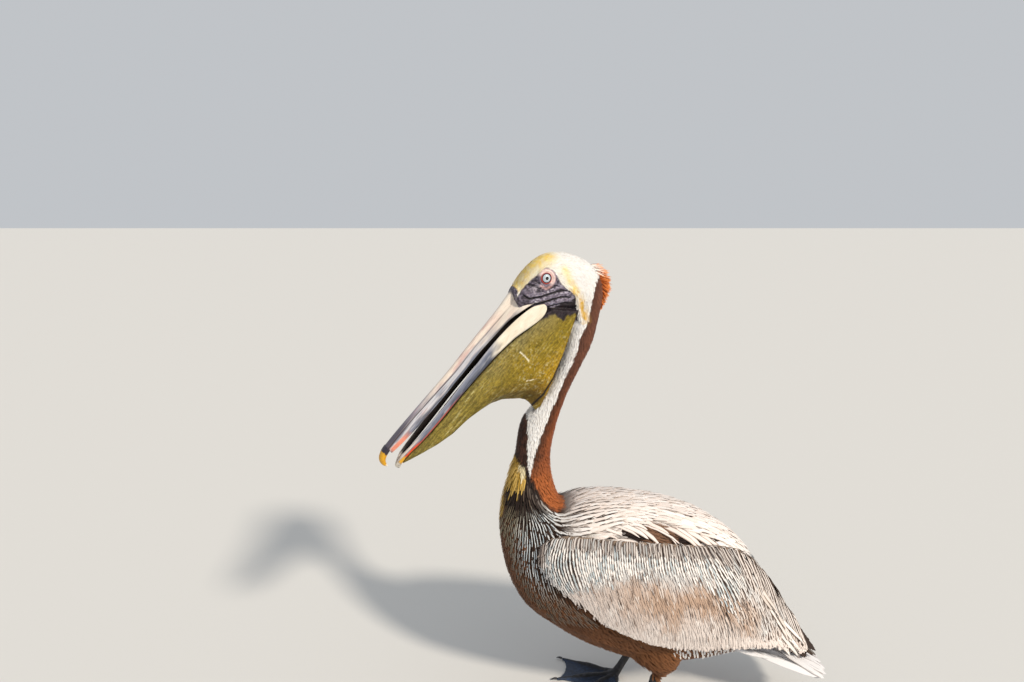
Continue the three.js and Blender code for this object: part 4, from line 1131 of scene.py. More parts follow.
def scattered(mesh, spacing, chance, seed):
    """Roots at even random places on a mesh, where the chance given for each point is not 0."""
    tree = bpy.data.node_groups.new("scatter_roots", "GeometryNodeTree")
    tree.interface.new_socket("Geometry", in_out="INPUT", socket_type="NodeSocketGeometry")
    tree.interface.new_socket("Geometry", in_out="OUTPUT", socket_type="NodeSocketGeometry")
    wanted = {"Spacing": ("NodeSocketFloat", spacing / 1000),
              "Most per Area": ("NodeSocketFloat", 1.6e6 / spacing ** 2),
              "Seed": ("NodeSocketInt", seed)}
    sockets = {name: tree.interface.new_socket(name, in_out="INPUT", socket_type=kind)
               for name, (kind, _) in wanted.items()}
    source = add_node(tree, "NodeGroupInput")
    chosen = add_node(tree, "GeometryNodeInputNamedAttribute", {"Name": "chance"})
    spots = add_node(tree, "GeometryNodeDistributePointsOnFaces", {"distribute_method": "POISSON"},
                     Mesh=source.outputs["Geometry"], Distance_Min=source.outputs["Spacing"],
                     Density_Max=source.outputs["Most per Area"], Seed=source.outputs["Seed"],
                     Density_Factor=chosen.outputs["Attribute"])
    points = add_node(tree, "GeometryNodePointsToVertices", Points=spots.outputs["Points"])
    real = add_node(tree, "GeometryNodeRealizeInstances", Geometry=points.outputs["Mesh"])
    dressed = add_node(tree, "GeometryNodeSetMaterial", Geometry=real.outputs["Geometry"])
    add_node(tree, "NodeGroupOutput", Geometry=dressed.outputs["Geometry"])
    copy = mesh.copy()
    layer = copy.attributes.new("chance", "FLOAT", "POINT")
    layer.data.foreach_set("value", np.asarray(chance, np.float32))
    holder = bpy.data.objects.new("roots", copy)
    bpy.context.scene.collection.objects.link(holder)
    modifier = holder.modifiers.new("scatter", "NODES")
    modifier.node_group = tree
    for name, (_, value) in wanted.items():
        modifier[sockets[name].identifier] = value
    graph = bpy.context.evaluated_depsgraph_get()
    result = bpy.data.meshes.new_from_object(holder.evaluated_get(graph))
    roots = points_of(result)
    bpy.data.objects.remove(holder)
    bpy.data.meshes.remove(copy)
    bpy.data.meshes.remove(result)
    return roots


COMB_STEP = 3.0          # distance between the places of a line
COMB_MOST = 160          # most steps of a line each way
COMB_LEAST = 4           # fewest places of a line that is kept
START_GAP, RUN_GAP = 0.96, 0.62     # shares of the gap that must be free, to start and to go on
BOX = 8                  # size of the boxes by which taken places are found


def combed(tree, seeds, flow, allowed, gap):
    """Lines that run along the lie over a surface, spaced evenly: new ones start a gap away from
    the last, and further seeds fill what is left."""
    taken = {}
    seeds, waiting, lines = deque(seeds), deque(), []

    def crowded(place, limit):
        cell = [int(c // BOX) for c in place]
        for key in product(*((c - 1, c, c + 1) for c in cell)):
            for x, y, z in taken.get(key, ()):
                if (x - place[0]) ** 2 + (y - place[1]) ** 2 + (z - place[2]) ** 2 < limit * limit:
                    return True
        return False

    while waiting or seeds:
        seed = (waiting or seeds).popleft()
        wide = gap(seed[None])[0]
        if crowded(seed, wide * START_GAP):
            continue
        start, up, _ = nearest(tree, seed[None])
        if not allowed(start, up)[0]:
            continue
        runs, ups = [], []
        for sense in (-1, 1):
            place, facing = start, up
            run, normals = [], []
            for _ in range(COMB_MOST):
                place, facing, _ = nearest(tree, place + flow(place, facing) * (sense * COMB_STEP))
                if not allowed(place, facing)[0] or crowded(place[0], wide * RUN_GAP):
                    break
                run.append(place[0])
                normals.append(facing[0])
            runs.append(run)
            ups.append(normals)
        line = np.array(runs[0][::-1] + [start[0]] + runs[1])
        normals = np.array(ups[0][::-1] + [up[0]] + ups[1])
        if len(line) < COMB_LEAST:
            continue
        for x, y, z in line:
            taken.setdefault(tuple(int(c // BOX) for c in (x, y, z)), []).append((x, y, z))
        side = np.cross(flow(line, normals), normals) * gap(line)[:, None]
        waiting.extend((line + side)[1::3])
        waiting.extend((line - side)[1::3])
        lines.append(line)
    return lines


def roots_on(lines, every, rng, lead=False):
    """Every so many places along each line, from a random start, or from the first place too."""
    picked = [line[rng.integers(0, every)::every] for line in lines]
    if lead:
        picked += [line[:1] for line in lines]
    return np.concatenate([line for line in picked if len(line)])


# The run of the body from tail to forehead, from the turning axis, for unwrapping the skin.
BODY_RUN = [(356, 118), (300, 150), (210, 200), (120, 225), (40, 240), (-20, 270), (-52, 320),
            (-54, 380), (-50, 450), (-42, 500), (-24, 550), (0, 600), (2, 650),
            (-20, 700), (-80, 700)]


def unwrapped(run, places, middle=0.0):
    """Where a place lies on the skin unrolled along a run: share along, and share around."""
    run = np.array(run, float)
    steps = np.diff(run, axis=0)
    long = np.hypot(*steps.T)
    start = np.r_[0, np.cumsum(long)[:-1]]
    best = np.full(len(places), 1e9)
    share, high = np.zeros(len(places)), np.zeros(len(places))
    for (y0, z0), (ey, ez), size, begun in zip(run, steps, long, start):
        t = np.clip(((places[:, 1] - y0) * ey + (places[:, 2] - z0) * ez) / size ** 2, 0, 1)
        dy, dz = places[:, 1] - y0 - t * ey, places[:, 2] - z0 - t * ez
        off = np.hypot(dy, dz)
        closer = off < best
        best = np.where(closer, off, best)
        share = np.where(closer, (begun + t * size) / long.sum(), share)
        high = np.where(closer, (ey * dz - ez * dy) / size, high)
    around = np.arctan2(places[:, 0] - middle, high + 1e-6) / (2 * math.pi) + 0.5
    return np.stack([share, around], -1) * 0.99 + 0.005


PATCH = 0.003            # size of one feather's patch on the unrolled skin


def vane_mesh(name, spine, up, half, core, edge, bake, start, crown):
    """Vanes from their midlines. The last place of each is its point. Crown arches them across.
    The colours are one for each vane, or one for each place on its midline."""
    count, rows = spine.shape[:2]
    run = np.gradient(spine, axis=1)
    side = unit(np.cross(unit(run), up))
    columns = [-1, 1] if not crown else [-1, 0, 1]
    wide = len(columns)
    lines = [spine[:, :-1] + (side * half[..., None])[:, :-1] * c
             + up[:, :-1] * (half[..., None][:, :-1] * crown * (1 - abs(c))) for c in columns]
    grid = np.stack(lines, 2).reshape(count, (rows - 1) * wide, 3)
    points = np.concatenate([grid, spine[:, -1:]], 1)
    per = points.shape[1]
    faces = []
    for i in range(rows - 2):
        for c in range(wide - 1):
            a = i * wide + c
            faces.append((a, a + 1, a + 1 + wide, a + wide))
    last = (rows - 2) * wide
    faces += [(last + c, last + c + 1, per - 1) for c in range(wide - 1)]
    pattern = np.concatenate([np.array(f) for f in faces])
    sizes = np.array([len(f) for f in faces])
    mesh = bpy.data.meshes.new(name)
    mesh.vertices.add(count * per)
    mesh.loops.add(count * len(pattern))
    mesh.polygons.add(count * len(faces))
    mesh.vertices.foreach_set("co", to_row(points.reshape(-1, 3)).astype(np.float32).ravel())
    corner_of = (np.arange(count)[:, None] * per + pattern).ravel()
    starts = (np.arange(count)[:, None] * len(pattern) + np.r_[0, np.cumsum(sizes)[:-1]]).ravel()
    mesh.loops.foreach_set("vertex_index", corner_of.astype(np.int32))
    mesh.polygons.foreach_set("loop_start", starts.astype(np.int32))
    mesh.update(calc_edges=True)
    across = np.r_[np.tile((np.array(columns) + 1) / 2, rows - 1), 0.5]
    gone = np.linalg.norm(np.diff(spine, axis=1), axis=-1).cumsum(1)
    gone = np.concatenate([np.zeros((count, 1)), gone], 1)
    along = np.concatenate([np.repeat(gone[:, :-1], wide, 1), gone[:, -1:]], 1)
    share = along / gone[:, -1:]
    across = np.tile(across, (count, 1))
    vane = np.stack([across, along / 10], -1).reshape(-1, 2)[corner_of]
    mesh.uv_layers.new(name="Vane").data.foreach_set("uv", vane.astype(np.float32).ravel())
    patch = bake[:, None] + PATCH * (np.stack([across, share], -1) - 0.5)
    patch = patch.reshape(-1, 2)[corner_of]
    mesh.uv_layers.new(name="OFBake").data.foreach_set("uv", patch.astype(np.float32).ravel())
    spread = np.r_[np.repeat(np.arange(rows - 1), wide), rows - 1]
    start = np.broadcast_to(start, (count,))
    for layer, values, alpha in (("core", core, start), ("edge", edge, 1.0)):
        values = values if values.ndim == 3 else np.atleast_2d(values)[:, None]
        values = np.broadcast_to(values, (count, rows, 3))
        alpha = np.broadcast_to(np.reshape(alpha, (-1, 1)), (count, per)).ravel()
        set_colours(mesh, layer, values[:, spread].reshape(-1, 3), alpha)
    return mesh


ROOT_LIFT = 0.25         # how far over the skin a feather's midline starts


def laid(tree, roots, lie, length, width, rise, shape, bend=0.0, free=1.1, flow=None):
    """Midlines of feathers that follow a surface, their upward directions and half widths.

    Past the share of its length given by free, a feather no longer follows the surface. With a
    flow it turns with the lie of the coat as it goes."""
    place, up, _ = nearest(tree, roots)
    way = along_surface(lie, up)
    length, width, rise, bend, free = (
        np.broadcast_to(v, (len(roots),)) for v in (length, width, rise, bend, free))
    spine, ups, half = [], [], []
    gone = 0.0
    for share, wide, high in shape:
        if share > gone:
            ahead = place + way * ((share - gone) * length)[:, None]
            held, fresh, _ = nearest(tree, ahead)
            loose = (share > free)[:, None]
            place = np.where(loose, ahead, held)
            up = unit(np.where(loose, up, up * 0.35 + fresh))
            if flow is not None:
                way = unit(np.where(loose, way, way * 0.2 + flow(place, up)))
            way = unit(way + np.cross(way, up) * (bend * (share - gone))[:, None])
            way = along_surface(way, up)
            gone = share
        spine.append(place + up * (ROOT_LIFT + rise * high)[:, None])
        ups.append(up)
        half.append(width * wide / 2)
    return np.stack(spine, 1), np.stack(ups, 1), np.stack(half, 1)


BARB_GAP = 0.08          # in centimetres, like the second measure of the "Vane" map

# Feathers: a thin horny vane with barbs 0.8 mm apart, dull and faintly silky along them.
feather_vane, tree, shader = new_material("barbed_feather_vane", roughness=0.62)
core = add_node(tree, "ShaderNodeAttribute", {"attribute_name": "core"})
edge = add_node(tree, "ShaderNodeAttribute", {"attribute_name": "edge"})
vane = add_node(tree, "ShaderNodeUVMap", {"uv_map": "Vane"})
parts = add_node(tree, "ShaderNodeSeparateXYZ", Vector=vane.outputs["UV"])
off = add_node(tree, "ShaderNodeMath", {"operation": "MULTIPLY_ADD", 1: 2, 2: -1},
               in0=parts.outputs["X"])
off = add_node(tree, "ShaderNodeMath", {"operation": "ABSOLUTE"}, in0=off.outputs[0])
full = add_node(tree, "ShaderNodeMath", {"operation": "ADD", 1: 0.2}, in0=core.outputs["Alpha"])
rim = add_node(tree, "ShaderNodeMapRange", {"interpolation_type": "SMOOTHSTEP"},
               Value=off.outputs[0], From_Min=core.outputs["Alpha"], From_Max=full.outputs[0])
slant = add_node(tree, "ShaderNodeMath", {"operation": "MULTIPLY_ADD", 1: -0.22},
                 in0=off.outputs[0], in2=parts.outputs["Y"])
barb = add_node(tree, "ShaderNodeMath", {"operation": "MULTIPLY", 1: 2 * math.pi / BARB_GAP},
                in0=slant.outputs[0])
barb = add_node(tree, "ShaderNodeMath", {"operation": "SINE"}, in0=barb.outputs[0])
mixed = add_node(tree, "ShaderNodeMix", {"data_type": "RGBA"}, in0=rim.outputs[0],
                 in6=core.outputs["Color"], in7=edge.outputs["Color"])
shade = add_node(tree, "ShaderNodeMapRange",
                 {"From Min": -1, "From Max": 1, "To Min": 0.93, "To Max": 1.04},
                 Value=barb.outputs[0])
surfaced(tree, shader, mixed.outputs[2], barb.outputs[0], 0.25, 0.0003, shade.outputs[0])
shader.inputs["Sheen Weight"].default_value = 0.05
shader.inputs["Specular IOR Level"].default_value = 0.2


def add_feathers(name, vanes, core, edge, bake, start=0.5, crown=0.0):
    """One piece of feathers, from their midlines, upward directions and half widths."""
    mesh = vane_mesh(name, *vanes, core, edge, bake, start, crown)
    return add_piece(name, mesh, [feather_vane])


def varied(one, two, rng, count):
    """A random mixture of two colours for each of this many feathers."""
    return blend(one, two, rng.uniform(0, 1, count))


skin_tree = tree_of(skin_mesh)
skin_points = points_of(skin_mesh)
_, bare, over_pouch = bare_parts(skin_points)
coated = (bare < -0.4) & (over_pouch < 0) & (skin_points[:, 2] > LEG_TOP - 2)

# No feathers grow where a folded wing lies on the body.
COVERED = 14             # the wing is nearer than this there
THROUGH = 60             # how far a wing's shell is looked for
wing_shells = [tree_of(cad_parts[f"wing_{side}"].data) for side, _ in SIDES]
near_wing = np.flatnonzero(coated & (skin_points[:, 2] < 335) & (np.abs(skin_points[:, 0]) > 8))
outward = normals_of(skin_mesh)
for i in near_wing:
    place, way = Vector(skin_points[i]), Vector(outward[i])
    for shell in wing_shells:
        if (shell.ray_cast(place + way * 1.5, way, THROUGH)[0]
                and shell.find_nearest(place)[3] < COVERED):
            coated[i] = False
SMALL_VANE = [(0, 0.55, 0), (0.45, 1, 0.55), (0.82, 0.75, 0.95), (1, 0, 1)]


def coat(name, slot, seed, here, spacing, length, width):
    """One piece of the coat over the chosen part of the skin. Length and width depend on place."""
    rng = np.random.default_rng(seed)
    roots = scattered(skin_mesh, spacing, coated & here, seed)
    _, up, _ = nearest(skin_tree, roots)
    turn = turn_at(roots)
    places = straightened(roots, turn)
    lie = body_lie(roots, up)
    side = np.cross(lie, up)
    lie = unit(lie + side * rng.normal(0, 0.10, (len(roots), 1)))
    long = length(places) * rng.uniform(0.75, 1.25, len(roots))
    wide = width(places) * rng.uniform(0.85, 1.15, len(roots))
    bare_here = np.maximum(inside(FACE_EDGE, places), inside(FRONT_EDGE, places))
    bare_here = np.where(roots[:, 2] > FACE_LOW, bare_here, -9)
    deep = coat_depth(roots, bare_here) * rng.uniform(0.8, 1.2, len(roots))
    vanes = laid(skin_tree, roots, lie, long, wide, deep, SMALL_VANE)
    core, edge, start = markings(roots + lie * (long * 0.55)[:, None], turn)
    light = rng.normal(1, 0.07, (len(roots), 1))
    add_feathers(name, vanes, np.clip(core * light, 0, 0.95), np.clip(edge * light, 0, 0.95),
                 unwrapped(BODY_RUN, places), start)


def by_row(column, rows):
    """A measure that changes with the place in one direction: rows of place and measure."""
    return lambda places: curve(rows, places[:, column])


NECK_FROM, HEAD_FROM, BELLY_FROM = 402, 640, -60
height = skin_points[:, 2]
lower = height < NECK_FROM
fore = skin_points[:, 1] < BELLY_FROM
coat("coat_head", "cream_plumage", 11, height >= HEAD_FROM, 1.05,
     by_row(1, [(-95, 4.5), (-70, 6.5), (0, 8), (40, 9)]),
     by_row(1, [(-95, 1.5), (-70, 1.9), (0, 2.2), (40, 2.4)]))
coat("coat_neck", "chestnut_plumage", 12, ~lower & (height < HEAD_FROM), 1.25,
     by_row(1, [(0, 9.5)]), by_row(1, [(0, 2.3)]))
coat("coat_breast", "brown_plumage", 13, lower & fore, 1.8,
     by_row(2, [(100, 16), (300, 16), (400, 12)]), by_row(2, [(100, 3.2), (300, 3.0), (400, 2.6)]))
coat("coat_belly", "brown_plumage", 14, lower & ~fore, 2.4,
     by_row(1, [(0, 18)]), by_row(1, [(0, 3.6)]))

# The crest: a short brush at the back of the crown, white at its roots and orange at its tips.
CREST_COUNT = 1500
rng = np.random.default_rng(21)
count = CREST_COUNT
drop = rng.uniform(0, 1, count) ** 0.8
roots = joined(rng.normal(0, 6.5, count), np.interp(drop, [0, 0.4, 1], [34, 40, 46]),
               np.interp(drop, [0, 1], [724, 655]))
start, up, _ = nearest(skin_tree, spun(roots, HEAD_TURN) + PIVOT)
way = joined(rng.normal(0, 0.2, count), 1.0,
             np.interp(drop, [0, 0.4, 1], [-0.12, -0.3, -1.5]) + rng.normal(0, 0.16, count))
way = unit(spun(way, HEAD_TURN))
long = rng.uniform(0.75, 1.1, count) * np.interp(drop, [0, 0.15, 0.45, 0.7, 1], [20, 23, 20, 12, 5])
shares = np.array([0, 0.35, 0.7, 0.9, 1])
spine = start[:, None] + way[:, None] * (long[:, None] * shares)[..., None]
spine[..., 2] -= long[:, None] * 0.10 * shares ** 2
ups = np.repeat(unit(np.cross(way, rng.normal(0, 1, (count, 3))))[:, None], 5, 1)
half = rng.uniform(0.45, 0.85, (count, 1)) * np.array([0.8, 1, 0.9, 0.5, 0])
orange = varied("#ffb56b", "#f4883a", rng, count)
root_tone = blend("#fdf6ee", "#cb6d31", ease(drop, 0.14, 0.26))
core = np.stack([root_tone * (1 - s) + orange * s for s in (0, 0.05, 0.35, 0.85, 1)], 1)
crest = add_feathers("coat_crest", (spine, ups, half), core, core * 0.96,
                     unwrapped(BODY_RUN, straightened(start, HEAD_TURN)))
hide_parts("nape_crest")

# ---- Wings -----------------------------------------------------------------------------------
# A folded wing: the arm under a smooth body of down, then row on row of long, narrow covert
# feathers that hang down and back from the forearm, and the stiff flight feathers behind.

WING_RUN = [(-160, 300), (-120, 282), (-60, 252), (0, 238), (80, 228), (140, 215),
            (200, 178), (250, 130), (290, 105)]
WING_LIE = [
    (-158, 288, -80), (-152, 312, -100), (-138, 258, -62), (-116, 239, -48), (-131, 320, -120),
    (-94, 323, -110), (-94, 306, -85), (-94, 277, -72), (-79, 231, -66), (-63, 181, -70),
    (-35, 320, -105), (-35, 303, -88), (-36, 271, -76), (-35, 231, -72), (-25, 172, -78),
    (24, 317, -100), (24, 303, -85), (24, 269, -74), (26, 222, -74), (36, 163, -82),
    (78, 307, -80), (84, 289, -70), (85, 252, -68), (86, 212, -76), (89, 161, -82),
    (105, 302, -45), (126, 294, -38), (150, 279, -38), (149, 252, -54), (146, 223, -64),
    (149, 157, -82), (183, 246, -54), (187, 200, -60), (203, 149, -70), (231, 195, -52),
    (250, 143, -58), (283, 106, -60),
]
WING_TOP = [(-158, 300), (-147, 316), (-122, 325), (-80, 325), (-30, 320), (24, 316), (82, 309),
            (128, 300), (168, 279), (207, 236), (241, 187), (264, 152), (284, 120)]
WING_FOOT = [(-157, 292), (-126, 239), (-88, 210), (-40, 181), (10, 159), (60, 147), (112, 143),
             (164, 144), (206, 136), (238, 122), (262, 107), (280, 97)]
WING_INSET = 3.5         # deepest that the coverts let their body in
WING_CELL = 2.4
WING_MIDDLE = 60         # how far out a wing's middle lies


def wing_place(places):
    """How far down the wing a place is, from 0 to 1, and how far down the silver band ends."""
    y, z = places[:, 1], places[:, 2]
    top, foot = curve(WING_TOP, y), curve(WING_FOOT, y)
    ends = np.interp(y, [-150, -123, -90, -36, 20, 85, 112, 140, 185, 220],
                     [0.95, 0.75, 0.5, 0.24, 0.2, 0.22, 0.36, 0.46, 0.62, 0.3])
    return np.clip((top - z) / (top - foot), 0, 1), ends


def wing_colours(places, rng):
    """The colours of the pale feathers below the silver band: buff in the middle of the wing."""
    y = places[:, 1]
    down, ends = wing_place(places)
    soft = grain(places * [1, 1, 0.5], 16, 34) - 0.5
    buff = ease(down + soft * 0.3, 0.2, 0.42) * ease(-down - soft * 0.3, -0.76, -0.5)
    buff *= ease(y, -95, 30) * ease(-y, -215, -150)
    shade = rng.normal(0, 1, len(places))
    core = layered(
        blend("#e3d3c9", "#eee1d9", ease(down + soft * 0.4, 0.55, 0.9)),
        ("#cdd6da", ease(ends + 0.12 - down, -0.08, 0.06) * 0.5),
        ("#c39f83", buff * 0.8),
        (0.8, ease(shade, 0.2, 1.4) * 0.7),
        ("#fbf4ee", ease(-shade, 0.7, 1.6) * 0.5))
    gaps = (ease(y, 84, 130) * ease(shade, -0.5, 0.3)
            * ease(-down, -0.85, -0.55) * ease(down, 0.06, 0.2))
    edge = blend(core * 0.78, "#3d2d23", np.maximum(gaps, ease(y, 205, 235) * ease(shade, 0, 0.8)))
    return blend(core, "#f0e3da", ease(y, 130, 170) * ease(-down, -0.3, -0.1) * 0.8), edge


LONG_VANE = [(0, 0.5, 0), (0.3, 0.95, 0.35), (0.65, 1, 0.7), (0.9, 0.65, 0.95), (1, 0, 1)]

# Wing down: dull, soft and matted under the coverts.
wing_down, tree, shader, tone, place = coloured("wing_down", 0.9)
fuzz = add_node(tree, "ShaderNodeTexNoise", {"Scale": 260, "Detail": 4}, Vector=place)
shade = add_node(tree, "ShaderNodeMapRange", {"To Min": 0.7, "To Max": 1.2},
                 Value=fuzz.outputs["Fac"])
surfaced(tree, shader, tone, fuzz.outputs["Fac"], 0.5, 0.0008, shade.outputs[0])

wing_surfaces = []
for side, sign in SIDES:
    rng = np.random.default_rng(31 if sign > 0 else 32)
    body = net_over([f"wing_{side}"], WING_CELL, 0)
    shell, inward = tree_of(body), -normals_of(body)
    thick = [shell.ray_cast(Vector(place + way * 0.05), Vector(way), THROUGH)[3] or THROUGH
             for place, way in zip(points_of(body), inward)]
    inset = np.clip(np.array(thick) * 0.3, 0.1, WING_INSET)
    set_points(body, points_of(body) + inward * inset[:, None])
    smoothed(body, 2, 0.5)
    wing_tree = tree_of(body)

    def flow(places, up):
        lie = lie_along(WING_LIE, places, up)
        over = np.array([sign, 0, 0]) * np.clip(up[:, 2:], 0, 1) * 1.3
        return unit(lie + over - up * (over * up).sum(-1, keepdims=True))

    def outer(places, up):
        return ((up[:, 0] * sign > -0.2) | (up[:, 2] > 0.25)) & (places[:, 1] < 270)

    def in_silver(places, up):
        down, ends = wing_place(places)
        return outer(places, up) & (down < ends + (grain(places, 9, 35) - 0.5) * 0.2)

    def below_silver(places, up):
        down, ends = wing_place(places)
        return outer(places, up) & (down > ends - 0.14)

    def spread(places):
        return np.interp(places[:, 1], [70, 110, 170, 215], [2.2, 3.0, 3.8, 5.4])

    def silver_gap(places):
        return np.interp(places[:, 1], [110, 180], [3.5, 5.4])

    every = rng.permutation(points_of(body))
    _, up, _ = nearest(wing_tree, every)
    low, high = (
        roots_on(combed(wing_tree, every[allowed(every, up)], flow, allowed, gap), 3, rng, lead)
        for allowed, gap, lead in ((below_silver, spread, False), (in_silver, silver_gap, True)))
    roots = np.vstack([low, high])
    silver = np.arange(len(roots)) >= len(low)
    _, up, _ = nearest(wing_tree, roots)
    lie = flow(roots, up)
    size = len(roots)
    behind = ease(roots[:, 1], 75, 165)
    to_foot = np.maximum(roots[:, 2] - curve(WING_FOOT, roots[:, 1]), 5)
    long = np.where(silver, 20 + 40 * behind, 32 + 22 * behind) * rng.uniform(0.85, 1.2, size)
    over = rng.uniform(0, 1, size) * np.interp(roots[:, 1], [-60, 40, 120], [3, 2.5, 1.5])
    long = np.minimum(long, to_foot + over)
    wide = np.where(silver, 4.5 + 2.4 * behind,
                    2.8 + 2.0 * behind + 1.8 * ease(roots[:, 1], 170, 215))
    wide *= rng.uniform(0.9, 1.1, size)
    rise = np.where(silver, 3.8, 3.1 + 0.8 * behind) * rng.uniform(0.85, 1.15, size)
    rise += 2.2 * ease(-to_foot, -45, -8)
    lean = rng.normal(0, 1, size) * np.where(silver, 0.05, 0.16)
    vanes = laid(wing_tree, roots, lie, long, wide, rise, LONG_VANE, lean,
                 np.where(to_foot < long, to_foot / long, 1.1), flow)
    core, edge = wing_colours(roots + lie * (long * 0.6)[:, None], rng)
    tones = rng.uniform(0, 1, size)
    down, _ = wing_place(roots)
    fore = roots[:, 1] - np.interp(roots[:, 2], [181, 210, 239, 292, 316],
                                  [-40, -88, -126, -157, -147])
    wrist = ease(-fore, -11, -3)
    rim = np.maximum(wrist, ease(-down, -0.07, 0.0) * 0.8)
    metal = layered(blend("#bcc7cb", "#fbf6f1", ease(tones, 0, 0.7)),
                    ("#8f7a6c", rim * 0.75), (core, ease(roots[:, 1], 116, 150) * 0.9))
    deep = np.max([wrist, ease(-roots[:, 1], 85, 120) * 0.8, ease(-down, -0.16, -0.05) * 0.55,
                   ease(roots[:, 1], 92, 108) * 0.7], 0)
    groove = blend(blend("#84736a", "#35251f", deep), "#5d483b", ease(roots[:, 1], 125, 175) * 0.8)
    from_shaft = (np.interp(deep, [0, 1], [0.54, 0.4])
                  - 0.04 * rim + 0.1 * ease(roots[:, 1], 120, 170))
    add_feathers(f"wing_coverts_{side}", vanes, np.where(silver[:, None], metal, core),
                 np.where(silver[:, None], groove, edge),
                 unwrapped(WING_RUN, roots, sign * WING_MIDDLE), np.where(silver, from_shaft, 0.5))

    # Loose dark barbs show here and there between the pale feathers.
    down, _ = wing_place(low)
    chance = hump(down, 0.45, 0.3) * ease(low[:, 1], -120, -60)
    picked = low[rng.uniform(0, 1, len(low)) < chance * 0.06]
    _, up, _ = nearest(wing_tree, picked)
    count = len(picked)
    vanes = laid(wing_tree, picked + rng.normal(0, 1.5, picked.shape), flow(picked, up),
                 rng.uniform(11, 19, count), rng.uniform(0.9, 1.5, count),
                 rng.uniform(4.2, 4.8, count),
                 [(0, 0.1, 0.9), (0.4, 0.8, 0.95), (0.8, 1, 1), (1, 0, 0.95)], 0, 1.1, flow)
    core = varied("#4d3a2e", "#a1887a", rng, count)
    add_feathers(f"wing_barbs_{side}", vanes, core, core,
                 unwrapped(WING_RUN, picked, sign * WING_MIDDLE))

    wing_surfaces.append((points_of(body), [tuple(face.vertices) for face in body.polygons]))
    places = points_of(body)
    down, ends = wing_place(places)
    core, _ = wing_colours(places, np.random.default_rng(0))
    # The wing's body shows between the coverts: in their colours darkened, as painted shade under
    # them, and dark brown under the silver band and towards the rear, paler at the very top.
    dark = np.maximum(ease(ends - down, -0.05, 0.05), ease(places[:, 1], 80, 120))
    under = blend("#33251e", "#94806f", ease(-down, -0.08, -0.02))
    set_colours(body, "tone", blend(core * 0.7, under, dark))
    core_piece = add_piece(f"wing_body_{side}", body, [wing_down])
    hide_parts(f"wing_{side}")


# Long pale feathers lie over the rear of the folded wing, and the flight feathers, some pale and some
# dark, come out from under them.
QUILL = [(0, 0.45, 0), (0.2, 0.85, 0.2), (0.5, 1, 0.5), (0.8, 0.9, 0.8), (0.93, 0.6, 1), (1, 0, 1)]
QUILL_SAG = 1.5


def quills(name, roots, tips, facing, width, core, edge, bake):
    """Stiff feathers on straight lines from root to tip, a little arched along their length."""
    shares, wide, _ = np.array(QUILL).T
    run = tips - roots
    spine = roots[:, None] + run[:, None] * shares[None, :, None]
    facing = along_surface(facing, unit(run))
    spine += facing[:, None] * (QUILL_SAG * 4 * shares * (1 - shares))[None, :, None]
    ups = np.repeat(facing[:, None], len(shares), 1)
    half = np.broadcast_to(width, (len(roots),))[:, None] * wide / 2
    return add_feathers(name, (spine, ups, half), core, edge, bake, 0.72, 0.12)


PRIMARIES = [
    # root: y, height; tip: y, height; width, rise, how dark
    (206, 214, 273, 124, 8, 6.5, 0), (228, 184, 285, 106, 8, 5.8, 1),
    (240, 168, 298, 94, 8, 5.2, 1),
    (246, 160, 304, 90, 6, 4.8, 0.9), (216, 194, 262, 112, 9, 6.8, 0),
    (222, 186, 272, 106, 7, 6.2, 1),
    (206, 188, 250, 108, 8, 7, 0.1), (210, 182, 254, 112, 5, 6.4, 0.8),
    (196, 180, 238, 114, 8, 6.6, 0),
]
TERTIALS = 20
for (side, sign), (surface, faces) in zip(SIDES, wing_surfaces):
    rng = np.random.default_rng(41)
    wing_tree = BVHTree.FromPolygons(surface.tolist(), faces)
    count = TERTIALS
    t = np.linspace(0, 1, count)
    y = np.interp(t, [0, 1], [168, 240]) + rng.normal(0, 3, count)
    z = curve(WING_TOP, y) - np.where(np.arange(count) % 2, 6, 20) - rng.uniform(0, 4, count)
    roots, up, _ = nearest(wing_tree, joined(sign * WING_MIDDLE, y, z))
    lie = lie_along(WING_LIE, roots, up)
    long = np.interp(t, [0, 1], [84, 50]) * rng.uniform(0.9, 1.1, count)
    vanes = laid(wing_tree, roots, lie, long, rng.uniform(6, 8.5, count),
                 rng.uniform(4.5, 6, count), QUILL, 0.1 * sign, 0.8)
    add_feathers(f"wing_tertials_{side}", vanes, varied("#f6efea", "#dccfc5", rng, count),
                 varied("#3a2c23", "#9c8878", rng, count),
                 unwrapped(WING_RUN, roots, sign * WING_MIDDLE), 0.6, 0.15)

    y, z, tip_y, tip_z, wide, rise, dark = np.array(PRIMARIES, float).T
    roots, _, _ = nearest(wing_tree, joined(sign * 70.0, y, z))
    ends, _, _ = nearest(wing_tree, joined(sign * 45.0, tip_y, tip_z))
    ends[:, 1:] = np.stack([tip_y, tip_z], -1)
    run = ends - roots
    vanes = laid(wing_tree, roots, unit(run), np.linalg.norm(run, axis=-1), wide, rise, QUILL,
                 0.05 * sign, 0.75)
    add_feathers(f"wing_primaries_{side}", vanes, blend("#f6f0eb", "#3a2b1e", dark),
                 blend("#6b584a", "#201610", dark), unwrapped(WING_RUN, roots, sign * WING_MIDDLE),
                 0.62, 0.12)

# ---- Mantle and scapulars --------------------------------------------------------------------
# White lance-shaped feathers with fine dark edges over the shoulders and back. The longest hang from
# the shoulders over the top of each folded wing, with dark gaps of painted shade between them.

all_points = [skin_points]
all_faces = [tuple(face.vertices) for face in skin_mesh.polygons]
for surface, faces in wing_surfaces:
    base = sum(len(p) for p in all_points)
    all_points.append(surface)
    all_faces += [tuple(i + base for i in face) for face in faces]
back_tree = BVHTree.FromPolygons(np.vstack(all_points).tolist(), all_faces)

NECK_FRONT = [(-192, 450), (-178, 424), (-168, 404), (-160, 385), (-152, 366), (-150, 330),
              (-222, 330), (-222, 365), (-210, 405), (-200, 432)]


